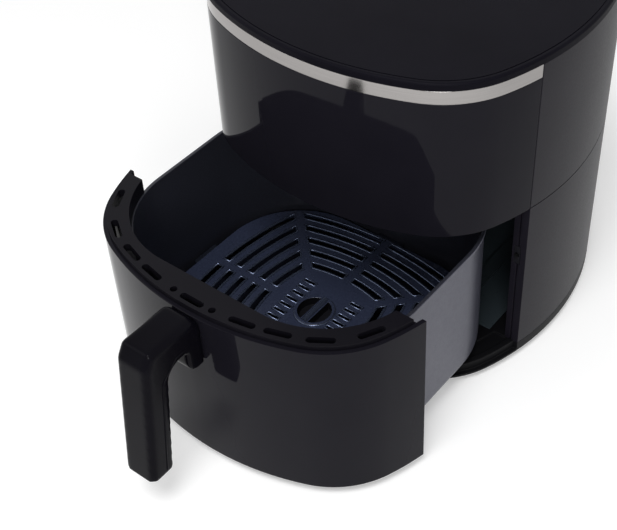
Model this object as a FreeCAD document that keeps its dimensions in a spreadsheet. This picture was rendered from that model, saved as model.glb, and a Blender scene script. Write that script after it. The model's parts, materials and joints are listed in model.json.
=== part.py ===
import FreeCAD, Part
import math
import os
import re
import Sketcher

V = FreeCAD.Vector
UP = V(0, 0, 1)
doc = FreeCAD.newDocument("AirFryer")

# Driving dimensions in millimetres, angles in degrees, counts as plain numbers
SIZES = [
    ("half_width", 135, "half of the greatest width of the housing"),
    ("front_depth", 131, "widest section to the middle of the front"),
    ("rear_depth", 140, "widest section to the middle of the back"),
    ("front_radius", 214, "plan radius of the front"),
    ("corner_radius", 72, "plan radius of the front corners"),
    ("side_radius", 201, "plan radius of the sides"),
    ("rear_corner_radius", 62, "plan radius of the rear corners"),
    ("rear_radius", 260, "plan radius of the back"),
    ("seam_setback", 47, "widest section to the seam behind the front pieces"),
    ("seam_gap", 0.4, "open line between neighbouring shells"),
    ("housing_wall", 2.5, "wall of the matte housings"),
    ("panel_wall", 3, "wall of the gloss front pieces"),
    ("foot_height", 6, "rubber foot below the base"),
    ("foot_radius", 11, "rubber foot"),
    ("foot_across", 82, "foot centres either side of the middle"),
    ("foot_front", 72, "front feet ahead of the widest section"),
    ("foot_rear", 92, "rear feet behind the widest section"),
    ("base_height", 9, "base tray, rim to underside"),
    ("base_floor", 2.5, "floor of the base tray"),
    ("base_lip", 2, "lip under the drawer front"),
    ("rim_wall", 6, "rim of the base tray"),
    ("boss_margin", 1, "foot bosses outside the feet"),
    ("groove_inset", 8, "edge of the base tray to the crumb groove"),
    ("groove_width", 12, "crumb groove"),
    ("groove_depth", 1.5, "crumb groove"),
    ("cavity_height", 133.6, "base tray to the underside of the front panel"),
    ("panel_height", 108, "gloss front panel"),
    ("band_height", 10, "silver trim band"),
    ("band_wall", 2, "silver trim band, thickness"),
    ("top_height", 5.5, "top cover above the band"),
    ("top_wall", 2.5, "top cover, thickness"),
    ("top_round", 1.8, "round on the top cover's edge"),
    ("top_line_inset", 3.2, "edge to the line around the top cover"),
    ("top_line_width", 0.8, "line around the top cover"),
    ("top_line_depth", 0.5, "line around the top cover"),
    ("flange_width", 8.5, "flange beside the cavity"),
    ("flange_depth", 6, "flange beside the cavity, front to back"),
    ("flange_groove_inset", 5.4, "plan of the housing to the groove down the flange"),
    ("flange_groove_width", 1.4, "groove down the flange"),
    ("flange_groove_depth", 1.6, "groove down the flange"),
    ("liner_wall", 1.2, "sheet of the cavity liner"),
    ("roof_wall", 2, "sheet of the cavity roof"),
    ("pull_out", 123.5, "how far the drawer stands open at rest"),
    ("front_bottom_gap", 0.6, "drawer front above the base lip"),
    ("front_top_gap", 5.6, "drawer front below the front panel"),
    ("frame_top_gap", 1.6, "drawer frame below the front panel"),
    ("frame_height", 6, "plate of the drawer frame"),
    ("frame_end", 54, "widest section to the ends of the drawer frame"),
    ("frame_fit", 0.2, "drawer frame inside the drawer front"),
    ("frame_slot", 5, "slots of the drawer frame, width"),
    ("frame_slot_length", 19, "slots of the drawer frame, length"),
    ("frame_slot_inset", 8.5, "plan of the housing to the middle of those slots"),
    ("frame_dot_turn", 4.6, "round holes of the drawer frame, degrees from the middle"),
    ("frame_second_turn", 10.9, "second slots of the drawer frame, degrees from the middle"),
    ("frame_third_turn", 17.8, "third slots of the drawer frame, degrees from the middle"),
    ("frame_corner_turn", 33, "first slots in the frame's corners, degrees round the corner"),
    ("frame_end_turn", 62, "last slots in the frame's corners, degrees round the corner"),
    ("frame_lip", 4, "lip of the drawer frame that sits on the basket"),
    ("return_depth", 4, "returns at the ends of the drawer front"),
    ("return_width", 7, "returns at the ends of the drawer front"),
    ("basket_side_gap", 22, "side of the housing at its widest to the basket's side"),
    ("basket_front_gap", 25, "middle of the front to the basket's front wall"),
    ("basket_rear", 96, "widest section to the basket's rear wall"),
    ("basket_corner", 70, "plan radius of the basket's corners"),
    ("basket_wall", 1.2, "sheet of the basket"),
    ("basket_round", 10, "round under the basket"),
    ("basket_drop", 13.6, "basket rim below the front panel"),
    ("basket_clear", 3, "basket above the base tray"),
    ("rim_out", 1.6, "rolled rim outside the basket"),
    ("rim_height", 2.6, "rolled rim"),
    ("slide_clear", 0.3, "running gap between pieces that slide"),
    ("rail_width", 12, "runner rail"),
    ("rail_across", 70, "runner rails either side of the middle"),
    ("rail_length", 180, "runner rail"),
    ("rail_start", 88, "front end of the rails ahead of the widest section"),
    ("bracket_width", 44, "bracket between basket and drawer front"),
    ("bracket_height", 30, "bracket between basket and drawer front"),
    ("bracket_drop", 1.8, "that bracket below the basket's rim"),
    ("bracket_sheet", 2, "sheet of that bracket"),
    ("handle_width", 27, "handle"),
    ("handle_arm", 48, "drawer front to the outside of the grip's top"),
    ("handle_reach", 61, "drawer front to the outside of the grip's foot"),
    ("handle_arm_height", 22, "arm of the handle"),
    ("handle_grip", 19, "grip of the handle, front to back"),
    ("handle_shift", 2, "inside of the grip's top ahead of its straight line"),
    ("handle_length", 109, "handle, top to bottom"),
    ("handle_root", 42, "foot of the handle on the drawer front"),
    ("root_depth", 14, "foot of the handle, front to back"),
    ("root_round", 8, "round under the foot of the handle"),
    ("handle_bevel", 5, "bevels at the ends of the handle's arm"),
    ("handle_chamfer", 3, "bevels along the outside of the handle"),
    ("handle_inner_round", 12, "round where the arm turns down into the grip"),
    ("screw_radius", 2, "screws"),
    ("screw_head", 3.6, "screw heads"),
    ("screw_head_height", 2, "screw heads"),
    ("screw_depth", 5, "handle screws in the handle"),
    ("screw_high", 21, "upper handle screw below the drawer frame's top"),
    ("screw_low", 36, "lower handle screw below the drawer frame's top"),
    ("plate_level", 20, "crisper plate's top above the basket's floor"),
    ("plate_sheet", 1.6, "sheet of the crisper plate"),
    ("plate_clear", 4, "crisper plate inside the basket"),
    ("plate_skirt", 7, "turned-down edge of the crisper plate"),
    ("plate_leg", 5, "legs of the crisper plate, radius"),
    ("plate_leg_across", 72, "legs either side of the middle"),
    ("ring_edge", 1.8, "last ring of slots inside the nearest edge of the plate"),
    ("ring_pitch", 12.1, "from ring to ring of slots"),
    ("ring_slot", 6, "slots of the rings"),
    ("ring_bow", 13, "how far the sides of the last ring swell"),
    ("ring_count", 5, "rings of slots"),
    ("rib_width", 7, "ribs between the slots"),
    ("row_across", 22, "rows of short slots either side of the middle"),
    ("row_pitch", 7.4, "from slot to slot in a row"),
    ("row_slot", 3.4, "short slots, width"),
    ("row_slot_length", 11, "short slots, length"),
    ("row_count", 7, "short slots in a row"),
    ("grip_radius", 15.3, "finger grip of the crisper plate"),
    ("grip_recess", 13, "recess in the finger grip"),
    ("grip_bar", 7, "bar across the finger grip"),
    ("grip_height", 9, "finger grip"),
    ("grip_floor", 1.6, "floor of the finger grip"),
    ("grip_proud", 1.4, "finger grip above the plate"),
    ("bumper_length", 24, "silicone bumper on the plate's edge"),
    ("bumper_depth", 3.7, "silicone bumper on the plate's edge"),
    ("fan_back", -5, "fan axis behind the widest section"),
    ("dish_radius", 88, "heat reflector dish"),
    ("dish_wall", 0.8, "sheet of the dish"),
    ("dish_height", 32, "heat reflector dish"),
    ("dish_eye", 6, "hole for the shaft in the dish"),
    ("element_wire", 3.5, "heating element, radius of the tube"),
    ("element_outer", 72, "heating element, outer turn"),
    ("element_step", 15, "heating element, turn to turn"),
    ("element_level", 8, "heating element above the cavity roof"),
    ("element_sweep", 300, "heating element, turn of each ring in degrees"),
    ("element_bend", 9, "heating element, bends at its ends"),
    ("bush_wall", 2.5, "ceramic bushes"),
    ("bush_height", 10, "ceramic bushes"),
    ("shaft_radius", 3, "motor shaft"),
    ("shaft_clear", 0.08, "motor shaft in its bearings"),
    ("hub_radius", 8, "fan hubs"),
    ("hot_fan_radius", 50, "hot-air fan"),
    ("hot_fan_height", 13, "hot-air fan"),
    ("hot_fan_drop", 18, "hot-air fan's underside below the dish top"),
    ("hot_fan_blades", 12, "hot-air fan"),
    ("cool_fan_radius", 47, "cooling fan"),
    ("cool_fan_height", 10, "cooling fan"),
    ("cool_fan_rise", 4, "cooling fan above the dish"),
    ("cool_fan_blades", 9, "cooling fan"),
    ("fan_sheet", 1.2, "discs and blades of the fans"),
    ("bridge_rise", 20, "motor bridge above the dish"),
    ("bridge_sheet", 2, "motor bridge"),
    ("bridge_width", 40, "motor bridge"),
    ("bridge_clear", 6, "motor bridge's legs outside the dish"),
    ("motor_radius", 30, "motor"),
    ("motor_height", 38, "motor"),
    ("rotor_gap", 1, "room around the shaft inside the motor"),
    ("bearing_radius", 8, "motor bearings"),
    ("bearing_height", 5, "motor bearings"),
    ("carrier_half_width", 55, "carrier of the display board"),
    ("carrier_setback", 18, "carrier behind the front of the panel"),
    ("carrier_sheet", 2, "carrier of the display board"),
    ("carrier_height", 88, "carrier of the display board"),
    ("board_sheet", 1.6, "circuit boards"),
    ("board_edge", 6, "carrier's edge around the display board"),
    ("display_half_width", 30, "display"),
    ("display_height", 20, "display"),
    ("display_depth", 5, "display"),
    ("power_half_width", 48, "power board"),
    ("power_height", 60, "power board"),
    ("power_gap", 28, "power board ahead of the middle of the back"),
    ("parts_level", 16, "power components above the cavity roof"),
    ("coil_across", 24, "transformer left of the middle"),
    ("coil_half_width", 12, "transformer"),
    ("coil_depth", 14, "transformer"),
    ("coil_height", 24, "transformer"),
    ("relay_across", 11, "relay right of the middle"),
    ("relay_half_width", 9, "relay"),
    ("relay_depth", 12, "relay"),
    ("relay_height", 16, "relay"),
    ("capacitor_across", 34, "capacitor right of the middle"),
    ("capacitor_half_width", 7, "capacitor"),
    ("capacitor_depth", 10, "capacitor"),
    ("capacitor_height", 18, "capacitor"),
    ("cutout_radius", 8, "thermal cut-out"),
    ("cutout_height", 6, "thermal cut-out"),
    ("cutout_across", 70, "thermal cut-out from the fan axis"),
    ("sensor_radius", 2, "temperature sensor"),
    ("sensor_across", 80, "temperature sensor from the fan axis"),
    ("sensor_drop", 14, "temperature sensor below the dish top"),
    ("sensor_rise", 6, "temperature sensor above the dish top"),
    ("switch_level", 96, "drawer switch above the base"),
    ("switch_inset", 6.9, "outside of the housing at the seam to the middle of the drawer switch"),
    ("switch_half_height", 8, "drawer switch"),
    ("switch_depth", 12, "drawer switch"),
    ("switch_width", 4.6, "drawer switch"),
    ("plunger_radius", 1.5, "plunger of the drawer switch"),
    ("plunger_out", 1.8, "plunger ahead of the flange"),
    ("plunger_in", 4, "plunger inside the switch, with its travel"),
    ("pit_clear", 1, "room around the plunger in the drawer front"),
    ("plunger_travel", 1.5, "plunger's travel"),
    ("grille_half_width", 45, "rear air grille"),
    ("grille_low", 46, "rear air grille above the cavity"),
    ("grille_high", 92, "rear air grille above the cavity"),
    ("grille_slot", 3, "openings of the rear air grille"),
    ("grille_pitch", 6.5, "from opening to opening"),
    ("grille_edge", 5, "edge around the openings"),
    ("gland_across", 52, "cord gland beside the middle"),
    ("gland_level", 24, "cord gland above the base"),
    ("gland_radius", 8, "cord gland"),
    ("gland_bore", 3.6, "cord gland, hole for the cord"),
    ("gland_in", 10, "cord gland ahead of the middle of the back"),
    ("gland_out", 8, "cord gland behind the housing"),
]
ALIASES = {row[0] for row in SIZES}

sheet = doc.addObject("Spreadsheet::Sheet", "Sizes")
for row, (alias, number, meaning) in enumerate(SIZES, start=1):
    sheet.set("A%d" % row, alias)
    sheet.set("B%d" % row, str(number))
    sheet.set("C%d" % row, meaning)
    sheet.setAlias("B%d" % row, alias)
doc.recompute()

# Levels and places that several pieces share, written from the driving dimensions
ROOF = "(base_height + cavity_height)"
BAND = "(base_height + cavity_height + panel_height)"
TOP = "(base_height + cavity_height + panel_height + band_height)"
DISH_LOW = "(base_height + cavity_height + roof_wall)"
DISH_TOP = "(base_height + cavity_height + roof_wall + dish_height)"
BRIDGE = "(base_height + cavity_height + roof_wall + dish_height + bridge_rise)"
SEAM = "(0 - seam_setback)"
LINER_OUT = "(housing_wall + flange_width - liner_wall)"
LINER_IN = "(housing_wall + flange_width)"
FRONT_LOW = "(base_lip + front_bottom_gap)"
FRONT_HIGH = "(base_height + cavity_height - front_top_gap)"
FRAME_HIGH = "(base_height + cavity_height - frame_top_gap)"
BASKET_LOW = "(base_height + basket_clear)"
BASKET_HIGH = "(base_height + cavity_height - basket_drop)"
PLATE_HIGH = "(base_height + basket_clear + basket_wall + plate_level)"
BASKET_HALF = "(half_width - basket_side_gap)"
BASKET_FRONT = "(front_depth - basket_front_gap)"
BASKET_MIDDLE = "((basket_rear - " + BASKET_FRONT + ") / 2)"
SEAM_HALF = "(half_width - side_radius + sqrt(side_radius * side_radius - seam_setback * seam_setback))"
SWITCH_X = "(" + SEAM_HALF + " - switch_inset)"
POWER_Y = "(rear_depth - power_gap)"

# How far a cutting block runs past the face it opens, and the slack for finding an edge by its place
PAST = 1
NEAR = 0.01

# The finished part stands on its feet, with its middle over the origin while the drawer is open
BODY_Y = "((front_depth + pull_out + handle_reach - rear_depth - gland_out) / 2)"
DRAWER_Y = BODY_Y + " - pull_out"


def on_sheet(word):
    return "Sizes." + word.group() if word.group() in ALIASES else word.group()


def ex(text):
    """An expression on the sheet, from a sum of plain names."""
    return re.sub(r"[a-z_]+", on_sheet, text)


def val(text):
    """The number that such a sum comes to."""
    return float(sheet.evalExpression(ex(text)))


def bind(obj, fields):
    for field, text in fields.items():
        obj.setExpression(field, ex(text))
    return obj


def put(obj, x, y, z):
    return bind(obj, {"Placement.Base.x": x, "Placement.Base.y": y, "Placement.Base.z": z})


def box(name, x_low, x_high, y_low, y_high, z_low, z_high):
    obj = doc.addObject("Part::Box", name)
    bind(obj, {"Length": "(%s) - (%s)" % (x_high, x_low)})
    bind(obj, {"Width": "(%s) - (%s)" % (y_high, y_low)})
    bind(obj, {"Height": "(%s) - (%s)" % (z_high, z_low)})
    return put(obj, x_low, y_low, z_low)


def upright(name, radius, x, y, z_low, z_high):
    """A round bar that stands along Z."""
    obj = doc.addObject("Part::Cylinder", name)
    bind(obj, {"Radius": radius, "Height": "(%s) - (%s)" % (z_high, z_low)})
    return put(obj, x, y, z_low)


def lying(name, radius, x, z, y_low, y_high):
    """A round bar that lies along Y."""
    obj = doc.addObject("Part::Cylinder", name)
    obj.Placement = FreeCAD.Placement(V(0, 0, 0), FreeCAD.Rotation(V(1, 0, 0), -90))
    bind(obj, {"Radius": radius, "Height": "(%s) - (%s)" % (y_high, y_low)})
    return put(obj, x, y_low, z)


def cut(name, base, *tools):
    for number, tool in enumerate(tools):
        obj = doc.addObject("Part::Cut", "%s_%d" % (name, number))
        obj.Base = base
        obj.Tool = tool
        base = obj
    return base


def keep(name, first, second):
    obj = doc.addObject("Part::Common", name)
    obj.Base = first
    obj.Tool = second
    return obj


def join(name, *pieces):
    obj = doc.addObject("Part::MultiFuse", name)
    obj.Shapes = list(pieces)
    obj.Refine = True
    return obj


def group(name, pieces):
    obj = doc.addObject("Part::Compound", name)
    obj.Links = list(pieces)
    return obj


NODES = []


def node(label, piece, y=BODY_Y):
    """A finished sub-part, moved from the body's own axes to where it stands."""
    obj = group(label, [piece])
    obj.Label = label
    put(obj, "0", y, "foot_height")
    NODES.append(obj)
    return obj


def drawer_node(label, piece):
    return node(label, piece, DRAWER_Y)


def inset(source, depth):
    obj = doc.addObject("Part::Offset2D", "Inset")
    obj.Source = source
    bind(obj, {"Value": "0 - (%s)" % depth})
    return obj


def prism(name, outline, z_low, z_high):
    obj = doc.addObject("Part::Extrusion", name)
    obj.Base = outline
    obj.DirMode = "Custom"
    obj.Dir = UP
    obj.Solid = True
    bind(obj, {"LengthFwd": "(%s) - (%s)" % (z_high, z_low)})
    bind(obj, {"Placement.Base.z": z_low})
    return obj


def ring(name, outline, outer, inner, z_low, z_high):
    """A wall that follows an outline, between two insets from it."""
    outside = outline if outer == "0" else inset(outline, outer)
    return cut(name, prism(name + "_out", outside, z_low, z_high),
               prism(name + "_in", inset(outline, inner), z_low, z_high))


def ahead(name, piece, y_high):
    """What lies ahead of a crosswise plane."""
    slab = box(name + "_slab", "0 - 2 * half_width", "2 * half_width", "0 - 2 * front_depth", y_high,
               "0 - foot_height", "2 * " + TOP)
    return keep(name, piece, slab)


def behind(name, piece, y_low):
    """What lies behind a crosswise plane."""
    slab = box(name + "_slab", "0 - 2 * half_width", "2 * half_width", y_low, "2 * rear_depth",
               "0 - foot_height", "2 * " + TOP)
    return keep(name, piece, slab)


def origin_plane(body, role):
    return [item for item in body.Origin.OriginFeatures if item.Role == role][0]


def body_sketch(body, name, role, rise=None):
    sketch = body.newObject("Sketcher::SketchObject", name)
    sketch.AttachmentSupport = [(origin_plane(body, role), "")]
    sketch.MapMode = "FlatFace"
    if rise is not None:
        bind(sketch, {"AttachmentOffset.Base.z": rise})
    return sketch


def hold(sketch, kind, places, text):
    """A sketch dimension bound to the sheet."""
    number = sketch.addConstraint(Sketcher.Constraint(kind, *places, val(text)))
    bind(sketch, {"Constraints[%d]" % number: text})


def circle(sketch, radius):
    """A circle about the sketch's own origin."""
    number = sketch.addGeometry(Part.Circle(V(0, 0, 0), UP, val(radius)), False)
    sketch.addConstraint(Sketcher.Constraint("Coincident", number, 3, -1, 1))
    hold(sketch, "Radius", (number,), radius)


def polygon(sketch, corners):
    """A closed run of lines whose corners are held by their places, each a pair of sums."""
    points = [V(val(across), val(along), 0) for across, along in corners]
    for number, point in enumerate(points):
        sketch.addGeometry(Part.LineSegment(point, points[(number + 1) % len(points)]), False)
    for number, (across, along) in enumerate(corners):
        sketch.addConstraint(Sketcher.Constraint("Coincident", number, 2, (number + 1) % len(points), 1))
        hold(sketch, "DistanceX", (-1, 1, number, 1), across)
        hold(sketch, "DistanceY", (-1, 1, number, 1), along)


def pad(body, name, sketch, length, symmetric=False):
    feature = body.newObject("PartDesign::Pad", name)
    feature.Profile = sketch
    feature.SideType = "Symmetric" if symmetric else "One side"
    bind(feature, {"Length": length})
    body.Tip = feature
    doc.recompute()
    return feature


def meet(first, first_radius, second, second_radius, pick):
    """Where two circles meet; pick chooses one of the two points."""
    span = second.sub(first)
    along = (first_radius ** 2 - second_radius ** 2 + span.Length ** 2) / (2 * span.Length)
    aside = math.sqrt(first_radius ** 2 - along ** 2)
    unit = V(span).normalize()
    foot = first.add(V(unit).multiply(along))
    side = V(-unit.y, unit.x, 0).multiply(aside)
    return max((foot.add(side), foot.sub(side)), key=pick)


# Plan of the housing: eight arcs, each tangent to the next, alike left and right
front_centre = V(0, val("front_radius - front_depth"), 0)
rear_centre = V(0, val("rear_depth - rear_radius"), 0)
side_centre = V(val("half_width - side_radius"), 0, 0)
corner_centre = meet(front_centre, val("front_radius - corner_radius"), side_centre,
                     val("side_radius - corner_radius"), lambda point: point.x - point.y)
rear_corner_centre = meet(rear_centre, val("rear_radius - rear_corner_radius"), side_centre,
                          val("side_radius - rear_corner_radius"), lambda point: point.x + point.y)


def heading(start, end):
    return math.atan2(end.y - start.y, end.x - start.x)


front_turn = heading(front_centre, corner_centre)
corner_turn = heading(side_centre, corner_centre)
rear_corner_turn = heading(side_centre, rear_corner_centre)
rear_turn = heading(rear_centre, rear_corner_centre)


def mirrored(point):
    return V(-point.x, point.y, 0)


PLAN_ARCS = [
    ("front", front_centre, "front_radius", -math.pi - front_turn, front_turn),
    ("front right", corner_centre, "corner_radius", front_turn, corner_turn),
    ("right", side_centre, "side_radius", corner_turn, rear_corner_turn),
    ("rear right", rear_corner_centre, "rear_corner_radius", rear_corner_turn, rear_turn),
    ("rear", rear_centre, "rear_radius", rear_turn, math.pi - rear_turn),
    ("rear left", mirrored(rear_corner_centre), "rear_corner_radius", math.pi - rear_turn,
     math.pi - rear_corner_turn),
    ("left", mirrored(side_centre), "side_radius", math.pi - rear_corner_turn, math.pi - corner_turn),
    ("front left", mirrored(corner_centre), "corner_radius", math.pi - corner_turn, math.pi - front_turn),
]
plan = doc.addObject("Sketcher::SketchObject", "HousingPlan")
arc_of = {}
for word, centre, radius, start, end in PLAN_ARCS:
    arc = Part.ArcOfCircle(Part.Circle(centre, UP, val(radius)), start, end)
    arc_of[word] = plan.addGeometry(arc, False)
for number in range(len(PLAN_ARCS)):
    plan.addConstraint(Sketcher.Constraint("Tangent", number, 2, (number + 1) % len(PLAN_ARCS), 1))
for word, centre, radius, start, end in PLAN_ARCS:
    hold(plan, "Radius", (arc_of[word],), radius)
for word in ("front", "rear"):
    plan.addConstraint(Sketcher.Constraint("PointOnObject", arc_of[word], 3, -2))
for word in ("right", "left"):
    plan.addConstraint(Sketcher.Constraint("PointOnObject", arc_of[word], 3, -1))
hold(plan, "DistanceY", (-1, 1, arc_of["front"], 3), "front_radius - front_depth")
hold(plan, "DistanceY", (arc_of["rear"], 3, -1, 1), "rear_radius - rear_depth")
hold(plan, "DistanceX", (arc_of["right"], 3, -1, 1), "side_radius - half_width")
hold(plan, "DistanceX", (-1, 1, arc_of["left"], 3), "side_radius - half_width")


def rounded_plan(sketch, half_width, front, rear, corner):
    """A rectangle with round corners, half_width either side, from front (ahead) to rear (behind)."""
    wide, ahead_y, behind_y, turn = val(half_width), -val(front), val(rear), val(corner)
    quarter = math.pi / 2
    centres = [V(wide - turn, ahead_y + turn, 0), V(wide - turn, behind_y - turn, 0),
               V(turn - wide, behind_y - turn, 0), V(turn - wide, ahead_y + turn, 0)]
    for number, centre in enumerate(centres):
        start = (number - 1) * quarter
        sketch.addGeometry(Part.ArcOfCircle(Part.Circle(centre, UP, turn), start, start + quarter), False)
    for number in range(4):
        after = (number + 1) % 4
        outward = V(turn * math.cos(number * quarter), turn * math.sin(number * quarter), 0)
        side = Part.LineSegment(centres[number].add(outward), centres[after].add(outward))
        sketch.addGeometry(side, False)
        sketch.addConstraint(Sketcher.Constraint("Tangent", number, 2, 4 + number, 1))
        sketch.addConstraint(Sketcher.Constraint("Tangent", 4 + number, 2, after, 1))
    right_line, rear_line, left_line, front_line = range(4, 8)
    for number in (right_line, left_line):
        sketch.addConstraint(Sketcher.Constraint("Vertical", number))
    for number in (rear_line, front_line):
        sketch.addConstraint(Sketcher.Constraint("Horizontal", number))
    for number in range(1, 4):
        sketch.addConstraint(Sketcher.Constraint("Equal", 0, number))
    hold(sketch, "Radius", (0,), corner)
    hold(sketch, "DistanceX", (-1, 1, right_line, 1), half_width)
    hold(sketch, "DistanceX", (left_line, 1, -1, 1), half_width)
    hold(sketch, "DistanceY", (-1, 1, rear_line, 1), rear)
    hold(sketch, "DistanceY", (front_line, 1, -1, 1), front)
    return sketch


# Base tray: a shallow tray with a rim, stepped back at the front to let the drawer front hang over it
tray = prism("tray", plan, "0", "base_height")
tray_hollow = prism("tray_hollow", inset(plan, "rim_wall"), "0", "base_height - base_floor")
step_ring = ring("step_ring", plan, "0", "panel_wall + front_bottom_gap", "base_lip",
                 "base_height + %d" % PAST)
tray_step = ahead("tray_step", step_ring, SEAM)
FOOT_PLACES = [("foot_across", "0 - foot_front"), ("0 - foot_across", "0 - foot_front"),
               ("foot_across", "foot_rear"), ("0 - foot_across", "foot_rear")]
bosses = []
feet = []
foot_screws = []
for number, (x, y) in enumerate(FOOT_PLACES):
    boss = upright("foot_boss", "foot_radius + boss_margin", x, y, "0", "base_height - base_floor")
    hole = upright("foot_boss_hole", "screw_radius", x, y, "0", "base_height - base_floor")
    bosses.append(cut("foot_boss_bored%d" % number, boss, hole))
    foot = upright("foot", "foot_radius", x, y, "0 - foot_height", "0")
    sink = upright("foot_sink", "screw_head", x, y, "0 - foot_height", "0 - foot_height / 2")
    bore = upright("foot_bore", "screw_radius", x, y, "0 - foot_height / 2", "0")
    feet.append(cut("foot_bored%d" % number, foot, sink, bore))
    head = upright("foot_screw_head", "screw_head", x, y, "0 - foot_height / 2 - screw_head_height",
                   "0 - foot_height / 2")
    shank = upright("foot_screw_shank", "screw_radius", x, y, "0 - foot_height / 2",
                    "base_height - base_floor")
    foot_screws.append(join("foot_screw%d" % number, head, shank))
groove_ring = ring("groove_ring", plan, "groove_inset", "groove_inset + groove_width",
                   "base_height - groove_depth", "base_height + %d" % PAST)
tray_groove = ahead("tray_groove", groove_ring, SEAM)
tray_shell = cut("tray_shell", tray, tray_hollow, tray_step, tray_groove)
node("base_tray", join("base_tray_solid", tray_shell, *bosses))
node("rubber_feet", group("feet_group", feet))
node("foot_screws", group("foot_screw_group", foot_screws))

# Runner rails: two low ribs of slippery plastic that carry the basket
rails = []
for side in ("rail_across", "0 - rail_across"):
    rails.append(box("rail", side + " - rail_width / 2", side + " + rail_width / 2", "0 - rail_start",
                     "rail_length - rail_start", "base_height", BASKET_LOW + " - slide_clear"))
node("runner_rails", group("rail_group", rails))

# Lower housing: the matte wall behind the seam, with a flange on each side of the cavity's mouth
lower_wall = behind("lower_wall", ring("lower_ring", plan, "0", "housing_wall", "base_height", ROOF), SEAM)
flange_ring = ring("flange_ring", plan, "housing_wall", LINER_IN, "base_height", ROOF)
flange_back = behind("flange_back", flange_ring, SEAM)
flange = ahead("flange", flange_back, SEAM + " + flange_depth")
switch_hole = box("switch_hole", SWITCH_X + " - switch_width / 2 - slide_clear",
                  SWITCH_X + " + switch_width / 2 + slide_clear", SEAM, SEAM + " + flange_depth",
                  "switch_level - switch_half_height - slide_clear",
                  "switch_level + switch_half_height + slide_clear")
gland_hole = lying("gland_hole", "gland_radius", "gland_across", "gland_level", "0", "2 * rear_depth")
flange_line = ring("flange_line", plan, "flange_groove_inset", "flange_groove_inset + flange_groove_width",
                   "base_height", ROOF)
flange_groove = ahead("flange_groove_cut", flange_line, SEAM + " + flange_groove_depth")
lower_shell = join("lower_shell", lower_wall, flange)
node("lower_housing", cut("lower_housing_solid", lower_shell, flange_groove, switch_hole, gland_hole))

# Cavity liner: folded sheet inside the lower housing, open to the front
liner = ring("liner", plan, LINER_OUT, LINER_IN, "base_height", ROOF)
liner_back = behind("liner_back", liner, SEAM + " + flange_depth")
liner_switch = box("liner_switch", SWITCH_X + " - flange_width", SWITCH_X + " + flange_width", SEAM,
                   SEAM + " + switch_depth + slide_clear", "switch_level - switch_half_height - slide_clear",
                   "switch_level + switch_half_height + slide_clear")
node("cavity_liner", cut("cavity_liner_solid", liner_back, liner_switch))

# Cavity roof: sheet over the whole cavity, with a round mouth for the hot air
roof = prism("roof", inset(plan, "panel_wall + seam_gap"), ROOF, DISH_LOW)
mouth = upright("roof_mouth", "dish_radius", "0", "fan_back", ROOF, DISH_LOW)
node("cavity_roof", cut("cavity_roof_solid", roof, mouth))

# Upper housing: the matte wall around the works, with an opening for the air grille at the back
upper_ring = ring("upper_ring", plan, "0", "housing_wall", ROOF + " + seam_gap", TOP)
upper_wall = behind("upper_wall", upper_ring, SEAM)
GRILLE_LOW = ROOF + " + grille_low"
GRILLE_HIGH = ROOF + " + grille_high"
grille_window = box("grille_window", "0 - grille_half_width", "grille_half_width", "0", "2 * rear_depth",
                    GRILLE_LOW, GRILLE_HIGH)
node("upper_housing", cut("upper_housing_solid", upper_wall, grille_window))

# Rear air grille: a louvre that fills that opening, with the same curve as the housing
grille_ring = ring("grille_ring", plan, "0", "housing_wall", GRILLE_LOW + " + slide_clear",
                   GRILLE_HIGH + " - slide_clear")
grille_block = box("grille_block", "slide_clear - grille_half_width", "grille_half_width - slide_clear", "0",
                   "2 * rear_depth", GRILLE_LOW, GRILLE_HIGH)
louvre = keep("louvre", grille_ring, grille_block)
grille_slots = []
for number in range(int(val("(grille_high - grille_low - 2 * grille_edge) / grille_pitch"))):
    low = GRILLE_LOW + " + grille_edge + %d * grille_pitch" % number
    grille_slots.append(box("grille_slot_cut", "grille_edge - grille_half_width",
                            "grille_half_width - grille_edge", "0", "2 * rear_depth", low,
                            low + " + grille_slot"))
node("rear_grille", cut("rear_grille_solid", louvre, group("grille_slot_group", grille_slots)))

# Front panel, trim band and top cover
panel_ring = ring("panel_ring", plan, "0", "panel_wall", ROOF, BAND)
node("front_panel", ahead("front_panel_solid", panel_ring, SEAM + " - seam_gap"))
band_ring = ring("band_ring", plan, "0", "band_wall", BAND, TOP)
node("trim_band", ahead("trim_band_solid", band_ring, SEAM + " - seam_gap"))
lid_block = prism("lid_block", plan, TOP, TOP + " + top_height")
doc.recompute()
lid_top = max(edge.BoundBox.ZMax for edge in lid_block.Shape.Edges)
lid = doc.addObject("Part::Fillet", "lid_rounded")
lid.Base = lid_block
lid.Edges = [(number, val("top_round"), val("top_round"))
             for number, edge in enumerate(lid_block.Shape.Edges, start=1)
             if edge.BoundBox.ZMin > lid_top - NEAR]
lid_hollow = prism("lid_hollow", inset(plan, "top_wall + top_round"), TOP, TOP + " + top_height - top_wall")
lid_line = ring("lid_line", plan, "top_line_inset", "top_line_inset + top_line_width",
                TOP + " + top_height - top_line_depth", TOP + " + top_height + %d" % PAST)
node("top_cover", cut("top_cover_solid", lid, lid_hollow, lid_line))

# Cord gland: a plain bush through the lower back wall, with a hole for the cord
gland_barrel = lying("gland_barrel", "gland_radius", "gland_across", "gland_level",
                     "rear_depth - gland_in", "rear_depth + gland_out")
gland_bore = lying("gland_bore_cut", "gland_bore", "gland_across", "gland_level",
                   "rear_depth - gland_in", "rear_depth + gland_out")
node("cord_gland", cut("cord_gland_solid", gland_barrel, gland_bore))

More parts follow.
